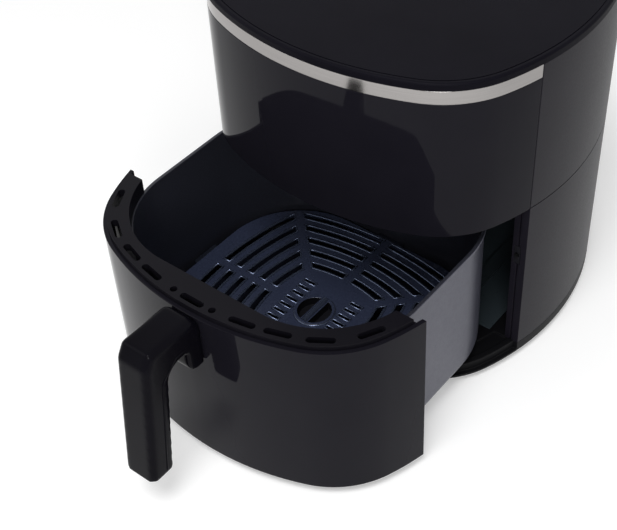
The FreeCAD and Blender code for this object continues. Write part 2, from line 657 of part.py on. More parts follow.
# Heat reflector: a stamped dish over the mouth in the cavity roof
dish_outside = upright("dish_outside", "dish_radius + dish_wall", "0", "fan_back", DISH_LOW, DISH_TOP)
dish_inside = upright("dish_inside", "dish_radius", "0", "fan_back", DISH_LOW, DISH_TOP + " - dish_wall")
dish_eye = upright("dish_eye_cut", "dish_eye", "0", "fan_back", DISH_LOW, DISH_TOP)
ELEMENT_IN = "(element_outer - element_step)"
TERMINALS = [("element_outer", "outer"), (ELEMENT_IN, "inner")]
bush_holes = []
bushes = []
for reach, word in TERMINALS:
    y = "fan_back - element_bend"
    low = DISH_TOP + " - dish_wall"
    high = low + " + bush_height"
    bush_holes.append(upright("bush_hole_" + word, "element_wire + bush_wall", reach, y, low, DISH_TOP))
    bush = upright("bush_" + word, "element_wire + bush_wall", reach, y, low, high)
    bush_bore = upright("bush_bore_" + word, "element_wire", reach, y, low, high)
    bushes.append(cut("bush_bored_" + word, bush, bush_bore))
sensor_hole = upright("sensor_hole", "sensor_radius", "0 - sensor_across", "fan_back",
                      DISH_TOP + " - dish_wall", DISH_TOP)
dish_shell = cut("dish_shell", dish_outside, dish_inside, dish_eye, *bush_holes)
node("heat_reflector", cut("heat_reflector_solid", dish_shell, sensor_hole))
node("ceramic_bushes", group("bush_group", bushes))

# Heating element: one tube of two turns, its ends bent up through the bushes
element_z = val(DISH_LOW + " + element_level")
element_axis = V(0, val("fan_back"), element_z)
outer_turn = val("element_outer")
inner_turn = val(ELEMENT_IN)
bend = val("element_bend")
terminal_z = val(DISH_TOP + " - dish_wall + bush_height + element_wire")


def ring_point(radius, degrees, z=0.0):
    turn = math.radians(degrees)
    return element_axis.add(V(radius * math.cos(turn), radius * math.sin(turn), z))


def ring_arc(radius, start, end):
    middle = (start + end) / 2
    return Part.Arc(ring_point(radius, start), ring_point(radius, middle), ring_point(radius, end)).toShape()


def terminal_edges(radius):
    """From the top of a terminal down its bend to the start of a turn."""
    foot = ring_point(radius, 0)
    elbow = foot.add(V(0, -bend, bend))
    slant = bend * math.sqrt(0.5)
    middle = foot.add(V(0, -slant, bend - slant))
    return [Part.LineSegment(V(elbow.x, elbow.y, terminal_z), elbow).toShape(),
            Part.Arc(elbow, middle, foot).toShape()]


sweep = val("element_sweep")
link_radius = (outer_turn - inner_turn) / 2
link_middle = ring_point((outer_turn + inner_turn) / 2, sweep)
link_ahead = V(-math.sin(math.radians(sweep)), math.cos(math.radians(sweep)), 0)
link = Part.Arc(ring_point(outer_turn, sweep), link_middle.add(V(link_ahead).multiply(link_radius)),
                ring_point(inner_turn, sweep)).toShape()
element_edges = terminal_edges(outer_turn)
element_edges += [ring_arc(outer_turn, 0, sweep / 2), ring_arc(outer_turn, sweep / 2, sweep), link]
element_edges += [ring_arc(inner_turn, sweep, sweep / 2), ring_arc(inner_turn, sweep / 2, 0)]
element_edges += list(reversed(terminal_edges(inner_turn)))
element_path = Part.Wire(Part.__sortEdges__(element_edges))
element_top = V(ring_point(outer_turn, 0).x, ring_point(outer_turn, 0).y - bend, terminal_z)
element_section = Part.Wire([Part.Circle(element_top, UP, val("element_wire")).toShape()])
element = doc.addObject("Part::Feature", "element_tube")
element.Shape = element_path.makePipeShell([element_section], True, False)
node("heating_element", element)

# Fans and shaft: a hot-air fan under the dish and a cooling fan over it, on one shaft


def fan(label, radius, height, rise, blades):
    """A disc with a hub and straight blades under it, about the shaft's axis."""
    body = doc.addObject("PartDesign::Body", label + "_body")
    disc = body_sketch(body, label + "_disc", "XY_Plane", "%s + %s - fan_sheet" % (rise, height))
    circle(disc, radius)
    circle(disc, "shaft_radius")
    pad(body, label + "_disc_pad", disc, "fan_sheet")
    hub = body_sketch(body, label + "_hub", "XY_Plane", rise)
    circle(hub, "hub_radius")
    circle(hub, "shaft_radius")
    pad(body, label + "_hub_pad", hub, height)
    blade = body_sketch(body, label + "_blade", "XY_Plane", rise)
    blade_out = radius + " - fan_sheet"
    polygon(blade, [("2 * hub_radius", "0 - fan_sheet / 2"), (blade_out, "0 - fan_sheet / 2"),
                    (blade_out, "fan_sheet / 2"), ("2 * hub_radius", "fan_sheet / 2")])
    blade_pad = pad(body, label + "_blade_pad", blade, height)
    pattern = body.newObject("PartDesign::PolarPattern", label + "_blades")
    pattern.Originals = [blade_pad]
    pattern.Axis = (origin_plane(body, "Z_Axis"), [""])
    pattern.Angle = 360
    bind(pattern, {"Occurrences": blades})
    body.Tip = pattern
    doc.recompute()
    return node(label, body, BODY_Y + " + fan_back")


HOT_LOW = DISH_TOP + " - hot_fan_drop"
COOL_LOW = DISH_TOP + " + cool_fan_rise"
fan("hot_air_fan", "hot_fan_radius", "hot_fan_height", HOT_LOW, "hot_fan_blades")
fan("cooling_fan", "cool_fan_radius", "cool_fan_height", COOL_LOW, "cool_fan_blades")
MOTOR_HIGH = BRIDGE + " + bridge_sheet + motor_height"
node("motor_shaft", upright("shaft", "shaft_radius", "0", "fan_back", HOT_LOW,
                            MOTOR_HIGH + " + bearing_height"))

# Motor on a bridge that straddles the dish, with a bearing at each end
leg_out = "(dish_radius + dish_wall + bridge_clear + bridge_sheet)"
bridge_y_low = "fan_back - bridge_width / 2"
bridge_y_high = "fan_back + bridge_width / 2"
bridge_plate = box("bridge_plate", "0 - " + leg_out, leg_out, bridge_y_low, bridge_y_high, BRIDGE,
                   BRIDGE + " + bridge_sheet")
bridge_legs = [box("bridge_leg_right", leg_out + " - bridge_sheet", leg_out, bridge_y_low, bridge_y_high,
                   DISH_LOW, BRIDGE),
               box("bridge_leg_left", "0 - " + leg_out, "bridge_sheet - " + leg_out, bridge_y_low,
                   bridge_y_high, DISH_LOW, BRIDGE)]
bridge_eye = upright("bridge_eye", "bearing_radius", "0", "fan_back", BRIDGE, BRIDGE + " + bridge_sheet")
node("motor_bridge", cut("motor_bridge_solid", join("bridge_bent", bridge_plate, *bridge_legs), bridge_eye))
stator = upright("stator", "motor_radius", "0", "fan_back", BRIDGE + " + bridge_sheet", MOTOR_HIGH)
low_seat = upright("low_seat", "bearing_radius", "0", "fan_back", BRIDGE + " + bridge_sheet",
                   BRIDGE + " + bridge_sheet + bearing_height")
high_seat = upright("high_seat", "bearing_radius", "0", "fan_back", MOTOR_HIGH + " - bearing_height",
                    MOTOR_HIGH)
rotor_room = upright("rotor_room", "shaft_radius + rotor_gap", "0", "fan_back", BRIDGE + " + bridge_sheet",
                     MOTOR_HIGH)
node("fan_motor", cut("fan_motor_solid", stator, low_seat, high_seat, rotor_room))
bearings = []
for word, low in (("low", BRIDGE + " + bridge_sheet"), ("high", MOTOR_HIGH + " - bearing_height")):
    bearing = upright("bearing_" + word, "bearing_radius", "0", "fan_back", low, low + " + bearing_height")
    bearing_bore = upright("bearing_bore_" + word, "shaft_radius + shaft_clear", "0", "fan_back", low,
                           low + " + bearing_height")
    bearings.append(cut("bearing_bored_" + word, bearing, bearing_bore))
node("motor_bearings", group("bearing_group", bearings))

# Motor screws: their heads under the bridge
motor_screws = []
for x in ("motor_radius / 2", "0 - motor_radius / 2"):
    motor_screws.append(upright("motor_screw", "screw_head", x, "fan_back", BRIDGE + " - screw_head_height",
                                BRIDGE))
node("motor_screws", group("motor_screw_group", motor_screws))

# Sensor and thermal cut-out on the dish
node("temperature_sensor", upright("sensor", "sensor_radius", "0 - sensor_across", "fan_back",
                                   DISH_TOP + " - sensor_drop", DISH_TOP + " + sensor_rise"))
node("thermal_cutout", upright("cutout", "cutout_radius", "0", "fan_back + cutout_across", DISH_TOP,
                               DISH_TOP + " + cutout_height"))

# Display board on its carrier behind the front panel
carrier_y = "(carrier_setback - front_depth)"
node("display_carrier", box("carrier", "0 - carrier_half_width", "carrier_half_width", carrier_y,
                            carrier_y + " + carrier_sheet", DISH_LOW, DISH_LOW + " + carrier_height"))
node("display_board", box("display_pcb", "board_edge - carrier_half_width", "carrier_half_width - board_edge",
                          carrier_y + " - board_sheet", carrier_y, DISH_LOW + " + board_edge",
                          DISH_LOW + " + carrier_height - board_edge"))
display_low = DISH_LOW + " + carrier_height / 2"
node("display_module", box("display", "0 - display_half_width", "display_half_width",
                           carrier_y + " - board_sheet - display_depth", carrier_y + " - board_sheet",
                           display_low, display_low + " + display_height"))

# Power board standing on the cavity roof behind the dish, with its larger components
power_back = POWER_Y + " + board_sheet"
node("power_board", box("power_pcb", "0 - power_half_width", "power_half_width", POWER_Y, power_back,
                        DISH_LOW, DISH_LOW + " + power_height"))
parts_low = DISH_LOW + " + parts_level"
components = []
for word, x in (("coil", "0 - coil_across"), ("relay", "relay_across"), ("capacitor", "capacitor_across")):
    components.append(box(word, x + " - %s_half_width" % word, x + " + %s_half_width" % word, power_back,
                          power_back + " + %s_depth" % word, parts_low, parts_low + " + %s_height" % word))
node("power_components", group("power_component_group", components))

# Drawer switch in the right flange, with a plunger that the closing drawer pushes
switch_block = box("switch_block", SWITCH_X + " - switch_width / 2", SWITCH_X + " + switch_width / 2",
                   SEAM, SEAM + " + switch_depth", "switch_level - switch_half_height",
                   "switch_level + switch_half_height")
switch_bore = lying("switch_bore", "plunger_radius + slide_clear", SWITCH_X, "switch_level", SEAM,
                    SEAM + " + plunger_in + plunger_travel")
node("drawer_switch", cut("drawer_switch_solid", switch_block, switch_bore))
node("switch_plunger", lying("plunger", "plunger_radius", SWITCH_X, "switch_level",
                             SEAM + " - plunger_out", SEAM + " + plunger_in"))

# Drawer front: the gloss shell of the drawer, with a return at each end
front_ring = ring("front_ring", plan, "0", "panel_wall", FRONT_LOW, FRONT_HIGH)
front_shell = ahead("front_shell", front_ring, SEAM + " - seam_gap")
return_ring = ring("return_ring", plan, "panel_wall", "panel_wall + return_width",
                   "base_height + front_bottom_gap", FRONT_HIGH + " - frame_height")
return_ahead = ahead("return_ahead", return_ring, SEAM + " - seam_gap")
returns = behind("returns", return_ahead, SEAM + " - seam_gap - return_depth")
plunger_pit = lying("plunger_pit", "plunger_radius + pit_clear", SWITCH_X, "switch_level",
                    SEAM + " - seam_gap - plunger_out - slide_clear", SEAM)
front_joined = join("front_joined", front_shell, returns)
screw_levels = [FRAME_HIGH + " - screw_high", FRAME_HIGH + " - screw_low"]
screw_holes = []
for level in screw_levels:
    screw_holes.append(lying("front_screw_hole", "screw_radius", "0", level, "0 - front_depth - panel_wall",
                             "0 - " + BASKET_FRONT))
drawer_node("drawer_front", cut("drawer_front_solid", front_joined, plunger_pit, *screw_holes))

# Drawer bracket: sheet box between the basket's front wall and the drawer front
bracket_high = BASKET_HIGH + " - rim_height - bracket_drop"
bracket_low = bracket_high + " - bracket_height"
bracket_bulge = "bracket_width * bracket_width / 8 / (front_radius - panel_wall)"
bracket_front = "(panel_wall - front_depth + frame_fit + %s)" % bracket_bulge
bracket_block = box("bracket_block", "0 - bracket_width / 2", "bracket_width / 2", bracket_front,
                    "0 - " + BASKET_FRONT, bracket_low, bracket_high)
bracket_room = box("bracket_room", "0 - bracket_width", "bracket_width", bracket_front + " + bracket_sheet",
                   "0 - " + BASKET_FRONT + " - bracket_sheet", bracket_low + " + bracket_sheet", bracket_high)
bracket_holes = []
for level in screw_levels:
    bracket_holes.append(lying("bracket_screw_hole", "screw_radius", "0", level, "0 - front_depth",
                               "0 - " + BASKET_FRONT + " - bracket_sheet"))
drawer_node("drawer_bracket", cut("drawer_bracket_solid", bracket_block, bracket_room, *bracket_holes))

# Basket: drawn sheet with a round bottom edge and a rolled rim
basket = doc.addObject("PartDesign::Body", "basket_body")
basket_plan = body_sketch(basket, "basket_plan", "XY_Plane", BASKET_LOW)
rounded_plan(basket_plan, BASKET_HALF, BASKET_FRONT, "basket_rear", "basket_corner")
basket_pad = pad(basket, "basket_pad", basket_plan, BASKET_HIGH + " - " + BASKET_LOW)
low_edges = ["Edge%d" % number for number, edge in enumerate(basket_pad.Shape.Edges, start=1)
             if edge.BoundBox.ZMax < val(BASKET_LOW) + NEAR]
basket_fillet = basket.newObject("PartDesign::Fillet", "basket_rounded")
basket_fillet.Base = (basket_pad, low_edges)
bind(basket_fillet, {"Radius": "basket_round"})
basket.Tip = basket_fillet
doc.recompute()
mouth_face = max(range(len(basket_fillet.Shape.Faces)),
                 key=lambda number: basket_fillet.Shape.Faces[number].BoundBox.ZMin)
basket_shell = basket.newObject("PartDesign::Thickness", "basket_shell")
basket_shell.Base = (basket_fillet, ["Face%d" % (mouth_face + 1)])
basket_shell.Reversed = True
bind(basket_shell, {"Value": "basket_wall"})
basket.Tip = basket_shell
doc.recompute()
basket_outline = rounded_plan(doc.addObject("Sketcher::SketchObject", "BasketOutline"), BASKET_HALF,
                              BASKET_FRONT, "basket_rear", "basket_corner")
rim = ring("rim", basket_outline, "0 - rim_out", "0", BASKET_HIGH + " - rim_height", BASKET_HIGH)
drawer_node("basket", join("basket_solid", basket, rim))

# Drawer frame: slotted plate over the front of the basket, with a lip that sits on the basket's rim
frame_plate = prism("frame_plate", inset(plan, "panel_wall + frame_fit"), FRAME_HIGH + " - frame_height",
                    FRAME_HIGH)
frame_mouth = prism("frame_mouth", basket_outline, BASKET_HIGH, FRAME_HIGH)
frame_room = prism("frame_room", inset(plan, "panel_wall + frame_fit"), BASKET_HIGH, FRAME_HIGH)
frame_lip_ring = ring("frame_lip_ring", basket_outline, "0 - frame_lip", "0", BASKET_HIGH,
                      FRAME_HIGH + " - frame_height")
frame_lip = keep("frame_lip_inside", frame_lip_ring, frame_room)
frame_ring = cut("frame_ring", frame_plate, frame_mouth)
frame_crescent = ahead("frame_crescent", join("frame_joined", frame_ring, frame_lip), "0 - frame_end")
slot_width = val("frame_slot")
slot_low = val(FRAME_HIGH + " - frame_height")
slot_tall = val("frame_height")
slot_inset = val("frame_slot_inset")


def frame_slot(centre, radius, degrees, length):
    """A round-ended slot, square to a ray from one of the plan's centres; degrees are from straight ahead."""
    straight = length - slot_width
    ends = [Part.makeCylinder(slot_width / 2, slot_tall, V(end * straight / 2, 0, 0)) for end in (-1, 1)]
    shape = ends[0]
    if straight > 0:
        run = Part.makeBox(straight, slot_width, slot_tall, V(-straight / 2, -slot_width / 2, 0))
        shape = run.fuse(ends)
    shape.rotate(V(0, 0, 0), UP, degrees)
    turn = math.radians(degrees)
    reach = radius - slot_inset
    shape.translate(centre.add(V(reach * math.sin(turn), -reach * math.cos(turn), slot_low)))
    return shape


slot_long = val("frame_slot_length")
FRONT_SLOTS = [(0, slot_long), (val("frame_dot_turn"), slot_width), (val("frame_second_turn"), slot_long),
               (val("frame_third_turn"), slot_long)]
CORNER_SLOTS = [(val("frame_corner_turn"), slot_long), (val("frame_end_turn"), slot_long)]
frame_slots = []
for side in (1, -1):
    for degrees, length in FRONT_SLOTS:
        if side == 1 or degrees > 0:
            frame_slots.append(frame_slot(front_centre, val("front_radius"), side * degrees, length))
    for degrees, length in CORNER_SLOTS:
        middle = corner_centre if side == 1 else mirrored(corner_centre)
        frame_slots.append(frame_slot(middle, val("corner_radius"), side * degrees, length))
frame_slot_tool = doc.addObject("Part::Feature", "frame_slots")
frame_slot_tool.Shape = Part.makeCompound(frame_slots)
drawer_node("drawer_frame", cut("drawer_frame_solid", frame_crescent, frame_slot_tool))

# Handle: a bent grip fixed to the drawer front, bevelled outside, round where it turns down
handle = doc.addObject("PartDesign::Body", "handle_body")
profile = body_sketch(handle, "handle_profile", "YZ_Plane")
HANDLE_LOW = FRAME_HIGH + " - handle_length"
GRIP_IN = "handle_grip - front_depth - handle_arm - handle_shift"
polygon(profile, [
    ("0 - front_depth", FRAME_HIGH + " - handle_bevel"),
    ("0 - front_depth", FRAME_HIGH + " - handle_root"),
    ("0 - front_depth - root_depth", FRAME_HIGH + " - handle_root"),
    ("0 - front_depth - root_depth", FRAME_HIGH + " - handle_arm_height"),
    (GRIP_IN, FRAME_HIGH + " - handle_arm_height"),
    ("handle_grip - front_depth - handle_reach", HANDLE_LOW),
    ("0 - front_depth - handle_reach", HANDLE_LOW),
    ("0 - front_depth - handle_arm - handle_bevel / 4", FRAME_HIGH + " - 2 * handle_bevel"),
    ("handle_bevel - front_depth - handle_arm", FRAME_HIGH),
    ("0 - front_depth - handle_bevel", FRAME_HIGH),
])
handle_pad = pad(handle, "handle_pad", profile, "handle_width", symmetric=True)
grip_in = val(GRIP_IN)
half_handle = val("handle_width / 2")
inner_edge = ["Edge%d" % number for number, edge in enumerate(handle_pad.Shape.Edges, start=1)
              if edge.BoundBox.XLength > half_handle and abs(edge.CenterOfMass.y - grip_in) < NEAR]
handle_turn = handle.newObject("PartDesign::Fillet", "handle_turn")
handle_turn.Base = (handle_pad, inner_edge)
bind(handle_turn, {"Radius": "handle_inner_round"})
handle.Tip = handle_turn
doc.recompute()
root_front = val("0 - front_depth - root_depth")
root_low = val(FRAME_HIGH + " - handle_root")
arm_low = val(FRAME_HIGH + " - handle_arm_height")
root_edge = []
for number, edge in enumerate(handle_turn.Shape.Edges, start=1):
    along_root = abs(edge.CenterOfMass.y - root_front) < NEAR and abs(edge.CenterOfMass.z - root_low) < NEAR
    if along_root and edge.BoundBox.XLength > half_handle:
        root_edge.append("Edge%d" % number)
handle_foot = handle.newObject("PartDesign::Fillet", "handle_foot")
handle_foot.Base = (handle_turn, root_edge)
bind(handle_foot, {"Radius": "root_round"})
handle.Tip = handle_foot
doc.recompute()
MOSTLY_UP = 0.1
MOSTLY_AHEAD = -0.7
outer_faces = []
for face in handle_foot.Shape.Faces:
    normal = face.normalAt(0, 0)
    sideways = abs(normal.x) > 1 - NEAR
    on_root = face.CenterOfMass.y > root_front - NEAR and face.CenterOfMass.z < arm_low
    if not sideways and not on_root and (normal.z > MOSTLY_UP or normal.y < MOSTLY_AHEAD):
        outer_faces.append(face)
root_y = val("0 - front_depth")
long_edges = []
for number, edge in enumerate(handle_foot.Shape.Edges, start=1):
    on_outside = any(edge.isSame(other) for face in outer_faces for other in face.Edges)
    if on_outside and edge.BoundBox.XLength < NEAR and edge.BoundBox.YMin < root_y - PAST:
        long_edges.append("Edge%d" % number)
handle_bevels = handle.newObject("PartDesign::Chamfer", "handle_bevels")
handle_bevels.Base = (handle_foot, long_edges)
bind(handle_bevels, {"Size": "handle_chamfer"})
handle.Tip = handle_bevels
doc.recompute()
screw_pilots = []
for level in screw_levels:
    screw_pilots.append(lying("handle_pilot", "screw_radius", "0", level, "0 - front_depth - screw_depth",
                              "0 - front_depth"))
drawer_node("handle", cut("handle_solid", handle, *screw_pilots))
handle_screws = []
for level in screw_levels:
    head_y = bracket_front + " + bracket_sheet"
    shank = lying("handle_screw_shank", "screw_radius", "0", level, "0 - front_depth - screw_depth", head_y)
    head = lying("handle_screw_head", "screw_head", "0", level, head_y, head_y + " + screw_head_height")
    handle_screws.append(join("handle_screw", shank, head))
drawer_node("handle_screws", group("handle_screw_group", handle_screws))

# Crisper plate: pressed sheet with rings of slots, a turned-down edge and legs on the basket's floor
PLATE_HALF = "(" + BASKET_HALF + " - basket_wall - plate_clear)"
PLATE_FRONT = "(" + BASKET_FRONT + " - basket_wall - plate_clear)"
PLATE_REAR = "(basket_rear - basket_wall - plate_clear)"
PLATE_CORNER = "(basket_corner - basket_wall - plate_clear)"
RING_REACH = "(min(%s; (%s + %s) / 2) - ring_edge)" % (PLATE_HALF, PLATE_FRONT, PLATE_REAR)
plate_outline = rounded_plan(doc.addObject("Sketcher::SketchObject", "PlateOutline"), PLATE_HALF, PLATE_FRONT,
                             PLATE_REAR, PLATE_CORNER)
sheet_top = prism("plate_sheet_top", plate_outline, PLATE_HIGH + " - plate_sheet", PLATE_HIGH)
skirt = ring("plate_skirt_ring", plate_outline, "0", "plate_sheet", PLATE_HIGH + " - plate_skirt", PLATE_HIGH)
legs = []
for x in ("plate_leg_across", "0 - plate_leg_across"):
    for y in ("plate_leg_across", "0 - plate_leg_across"):
        legs.append(upright("plate_leg_post", "plate_leg", x, BASKET_MIDDLE + " + " + y,
                            BASKET_LOW + " + basket_wall + slide_clear", PLATE_HIGH))
pressed = join("plate_pressed", sheet_top, skirt, *legs)
plate_low = val(PLATE_HIGH + " - plate_sheet") - PAST
plate_thick = val("plate_sheet") + 2 * PAST
middle_y = val(BASKET_MIDDLE)


def bowed_square(reach):
    """A square block with swelling sides about the plate's middle."""
    corner = reach * (1 - val("ring_bow / " + RING_REACH))
    edges = []
    for number in range(4):
        turn = FreeCAD.Rotation(UP, 90 * number)
        places = [V(-corner, -corner, 0), V(0, -reach, 0), V(corner, -corner, 0)]
        start, middle, end = [turn.multVec(place).add(V(0, middle_y, plate_low)) for place in places]
        edges.append(Part.Arc(start, middle, end).toShape())
    return Part.Face(Part.Wire(edges)).extrude(V(0, 0, plate_thick))


rib = val("rib_width")
reach_out = 2 * val(BASKET_HALF)
ribs = []
for turn in (0, 45, 90, 135):
    bar = Part.makeBox(2 * reach_out, rib, plate_thick, V(-reach_out, -rib / 2, plate_low))
    bar.rotate(V(0, 0, 0), UP, turn)
    bar.translate(V(0, middle_y, 0))
    ribs.append(bar)
slots = []
for number in range(int(val("ring_count"))):
    outside = val(RING_REACH + " - %d * ring_pitch" % number)
    band = bowed_square(outside).cut(bowed_square(outside - val("ring_slot")))
    slots.append(band.cut(ribs))
row_slot = val("row_slot")
row_length = val("row_slot_length")
for side in (-1, 1):
    for number in range(int(val("row_count"))):
        y = middle_y + (number - (val("row_count") - 1) / 2) * val("row_pitch")
        x = side * val("row_across")
        place = V(x - row_length / 2, y - row_slot / 2, plate_low)
        slots.append(Part.makeBox(row_length, row_slot, plate_thick, place))
slot_tool = doc.addObject("Part::Feature", "plate_slots")
slot_tool.Shape = Part.makeCompound(slots)
GRIP_LOW = PLATE_HIGH + " + grip_proud - grip_height"
grip_hole = upright("grip_hole", "grip_radius", "0", BASKET_MIDDLE, PLATE_HIGH + " - plate_sheet", PLATE_HIGH)
drawer_node("crisper_plate", cut("crisper_plate_solid", pressed, slot_tool, grip_hole))

# Silicone bumpers: short strips on the plate's edge that keep it off the basket's walls
bumper_low = PLATE_HIGH + " - plate_skirt"
bumpers = []
for word, sign in (("right", ""), ("left", "0 - ")):
    near = sign + PLATE_HALF
    far = near + (" + " if sign == "" else " - ") + "bumper_depth"
    x_low, x_high = (near, far) if sign == "" else (far, near)
    bumpers.append(box("bumper_" + word, x_low, x_high, BASKET_MIDDLE + " - bumper_length / 2",
                       BASKET_MIDDLE + " + bumper_length / 2", bumper_low, PLATE_HIGH))
bumpers.append(box("bumper_rear", "0 - bumper_length / 2", "bumper_length / 2", PLATE_REAR,
                   PLATE_REAR + " + bumper_depth", bumper_low, PLATE_HIGH))
bumpers.append(box("bumper_front", "0 - bumper_length / 2", "bumper_length / 2",
                   "0 - " + PLATE_FRONT + " - bumper_depth", "0 - " + PLATE_FRONT, bumper_low, PLATE_HIGH))
drawer_node("plate_bumpers", group("bumper_group", bumpers))

# Finger grip: a round cup with a bar across it, fixed in the middle of the plate
cup = upright("grip_cup", "grip_radius", "0", BASKET_MIDDLE, GRIP_LOW, PLATE_HIGH + " + grip_proud")
cup_room = upright("grip_room", "grip_recess", "0", BASKET_MIDDLE, GRIP_LOW + " + grip_floor",
                   PLATE_HIGH + " + grip_proud")
bar_block = box("grip_bar_block", "0 - grip_bar / 2", "grip_bar / 2", BASKET_MIDDLE + " - grip_radius",
                BASKET_MIDDLE + " + grip_radius", GRIP_LOW, PLATE_HIGH + " + grip_proud")
bar_round = upright("grip_bar_round", "grip_radius", "0", BASKET_MIDDLE, GRIP_LOW,
                    PLATE_HIGH + " + grip_proud")
drawer_node("plate_grip", join("plate_grip_solid", cut("grip_cup_hollow", cup, cup_room),
                               keep("grip_bar_trimmed", bar_block, bar_round)))

doc.recompute()
failed = []
for obj in doc.Objects:
    if "Invalid" in obj.State or "Error" in obj.State:
        failed.append("%s %s" % (obj.Label, obj.State))
for obj in NODES:
    if obj.Shape.isNull() or not obj.Shape.isValid() or not obj.Shape.Solids:
        failed.append("%s has no good solid" % obj.Label)
if failed:
    raise RuntimeError("; ".join(failed))
os.makedirs("parts", exist_ok=True)
for obj in NODES:
    obj.Shape.exportStep("parts/%s.step" % obj.Label)
    print("%-20s %2d solids %10.0f mm3" % (obj.Label, len(obj.Shape.Solids), obj.Shape.Volume))
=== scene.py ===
import json
import math

import bmesh
import bpy
from mathutils import Matrix, Vector


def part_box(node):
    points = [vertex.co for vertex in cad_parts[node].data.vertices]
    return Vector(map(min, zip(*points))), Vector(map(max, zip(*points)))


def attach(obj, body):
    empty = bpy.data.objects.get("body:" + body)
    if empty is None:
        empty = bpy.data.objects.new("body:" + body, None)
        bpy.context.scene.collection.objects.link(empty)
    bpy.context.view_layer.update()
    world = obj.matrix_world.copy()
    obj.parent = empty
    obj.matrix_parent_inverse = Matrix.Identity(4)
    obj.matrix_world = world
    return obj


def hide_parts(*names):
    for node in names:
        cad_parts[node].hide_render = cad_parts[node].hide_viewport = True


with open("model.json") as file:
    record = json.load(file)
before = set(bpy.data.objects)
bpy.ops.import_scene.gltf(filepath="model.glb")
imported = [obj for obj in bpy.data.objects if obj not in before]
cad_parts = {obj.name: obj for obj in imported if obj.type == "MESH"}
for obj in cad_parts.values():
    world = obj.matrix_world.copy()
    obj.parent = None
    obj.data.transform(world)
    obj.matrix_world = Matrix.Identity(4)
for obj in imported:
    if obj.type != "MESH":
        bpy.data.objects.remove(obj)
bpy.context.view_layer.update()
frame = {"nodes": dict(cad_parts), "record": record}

# Base tray: the moulded foot of the housing that carries the runner rails and a crumb groove.
# Black ABS, injection moulded in a spark-eroded tool, so it is matte with a fine even grain.
# The real grain is a few tenths of a millimetre; it is drawn coarser here, so that it shows.


def linear(code):
    """An sRGB hex colour as linear red, green, blue and full alpha."""
    parts = [int(code[start:start + 2], 16) / 255 for start in (1, 3, 5)]
    return [part / 12.92 if part <= 0.04045 else ((part + 0.055) / 1.055) ** 2.4 for part in parts] + [1.0]


def add(tree, kind, settings=None, links=None):
    """One node with its settings, its inputs joined to the sockets given."""
    made = tree.nodes.new(kind)
    for key, value in (settings or {}).items():
        if key in made.inputs:
            made.inputs[key].default_value = value
        else:
            setattr(made, key, value)
    for key, socket in (links or {}).items():
        tree.links.new(socket, made.inputs[key])
    return made


def moulded_plastic(name, dark, pale, grain_mm, depth_mm, roughness, ior):
    """A moulded plastic: cloudy colour between two close tones, and a grain pressed in by the tool."""
    cloud_mm = 45
    rough_swing = 0.06
    press_strength = 0.5
    material = bpy.data.materials.new(name)
    material.use_nodes = True
    tree = material.node_tree
    surface = tree.nodes["Principled BSDF"]
    surface.inputs["IOR"].default_value = ior
    place = add(tree, "ShaderNodeTexCoord").outputs["Object"]
    cloud = add(tree, "ShaderNodeTexNoise", {"Scale": 1000 / cloud_mm, "Detail": 3.0}, {"Vector": place})
    tone = add(tree, "ShaderNodeValToRGB", None, {"Fac": cloud.outputs["Fac"]})
    tone.color_ramp.elements[0].position = 0.3
    tone.color_ramp.elements[0].color = linear(dark)
    tone.color_ramp.elements[1].position = 0.7
    tone.color_ramp.elements[1].color = linear(pale)
    grain = add(tree, "ShaderNodeTexNoise", {"Scale": 1000 / grain_mm, "Detail": 2.0}, {"Vector": place})
    rough = add(tree, "ShaderNodeMapRange",
                {"To Min": roughness - rough_swing, "To Max": roughness + rough_swing},
                {"Value": grain.outputs["Fac"]})
    bump = add(tree, "ShaderNodeBump", {"Strength": press_strength, "Distance": depth_mm / 1000},
               {"Height": grain.outputs["Fac"]})
    tree.links.new(tone.outputs["Color"], surface.inputs["Base Color"])
    tree.links.new(rough.outputs["Result"], surface.inputs["Roughness"])
    tree.links.new(bump.outputs["Normal"], surface.inputs["Normal"])
    return material


def body_of(node):
    """The body that a CAD node moves with."""
    return [name for name, members in frame["record"]["behaviour"]["bodies"].items() if node in members][0]


def twin_mesh(node):
    """A copy of a CAD node's mesh with its triangles joined and its flat faces whole."""
    weld = 2e-6
    flat = math.radians(0.5)
    mesh = frame["nodes"][node].data.copy()
    work = bmesh.new()
    work.from_mesh(mesh)
    bmesh.ops.remove_doubles(work, verts=work.verts, dist=weld)
    bmesh.ops.dissolve_limit(work, angle_limit=flat, verts=work.verts, edges=work.edges)
    work.to_mesh(mesh)
    work.free()
    return mesh


def twin(node, *materials):
    """A smooth copy of a CAD node, in place of the node and moving with its body."""
    mesh = twin_mesh(node)
    mesh.materials.clear()
    for material in materials:
        mesh.materials.append(material)
    mesh.polygons.foreach_set("material_index", [0] * len(mesh.polygons))
    mesh.shade_smooth()
    piece = bpy.data.objects.new(node + "_rounded", mesh)
    bpy.context.scene.collection.objects.link(piece)
    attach(piece, body_of(node))
    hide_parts(node)
    return piece


def edged(node, round_mm, *materials, segments=3):
    """A twin with its sharp edges rounded as a real tool leaves them."""
    sharp_from = math.radians(40)
    piece = twin(node, *materials)
    rounding = piece.modifiers.new("edges", "BEVEL")
    rounding.width = round_mm / 1000
    rounding.segments = segments
    rounding.limit_method = "ANGLE"
    rounding.angle_limit = sharp_from
    rounding.use_clamp_overlap = True
    shading = piece.modifiers.new("shading", "WEIGHTED_NORMAL")
    shading.mode = "FACE_AREA"
    return piece


tray_abs = moulded_plastic("grained_black_abs", "#0c0c0e", "#111113", 1.5, 0.05, 0.46, 1.17)
edged("base_tray", 0.6, tray_abs)

# Feet and cord gland, and the screws and the motor's shaft: each foot is a disc with a screw from below.
# The soft pieces are rubber, moulded dull with a slight bloom. The screws and the shaft are zinc-plated
# steel, bright and a little brushed; their lines are drawn coarser than the real ones, so that they show.


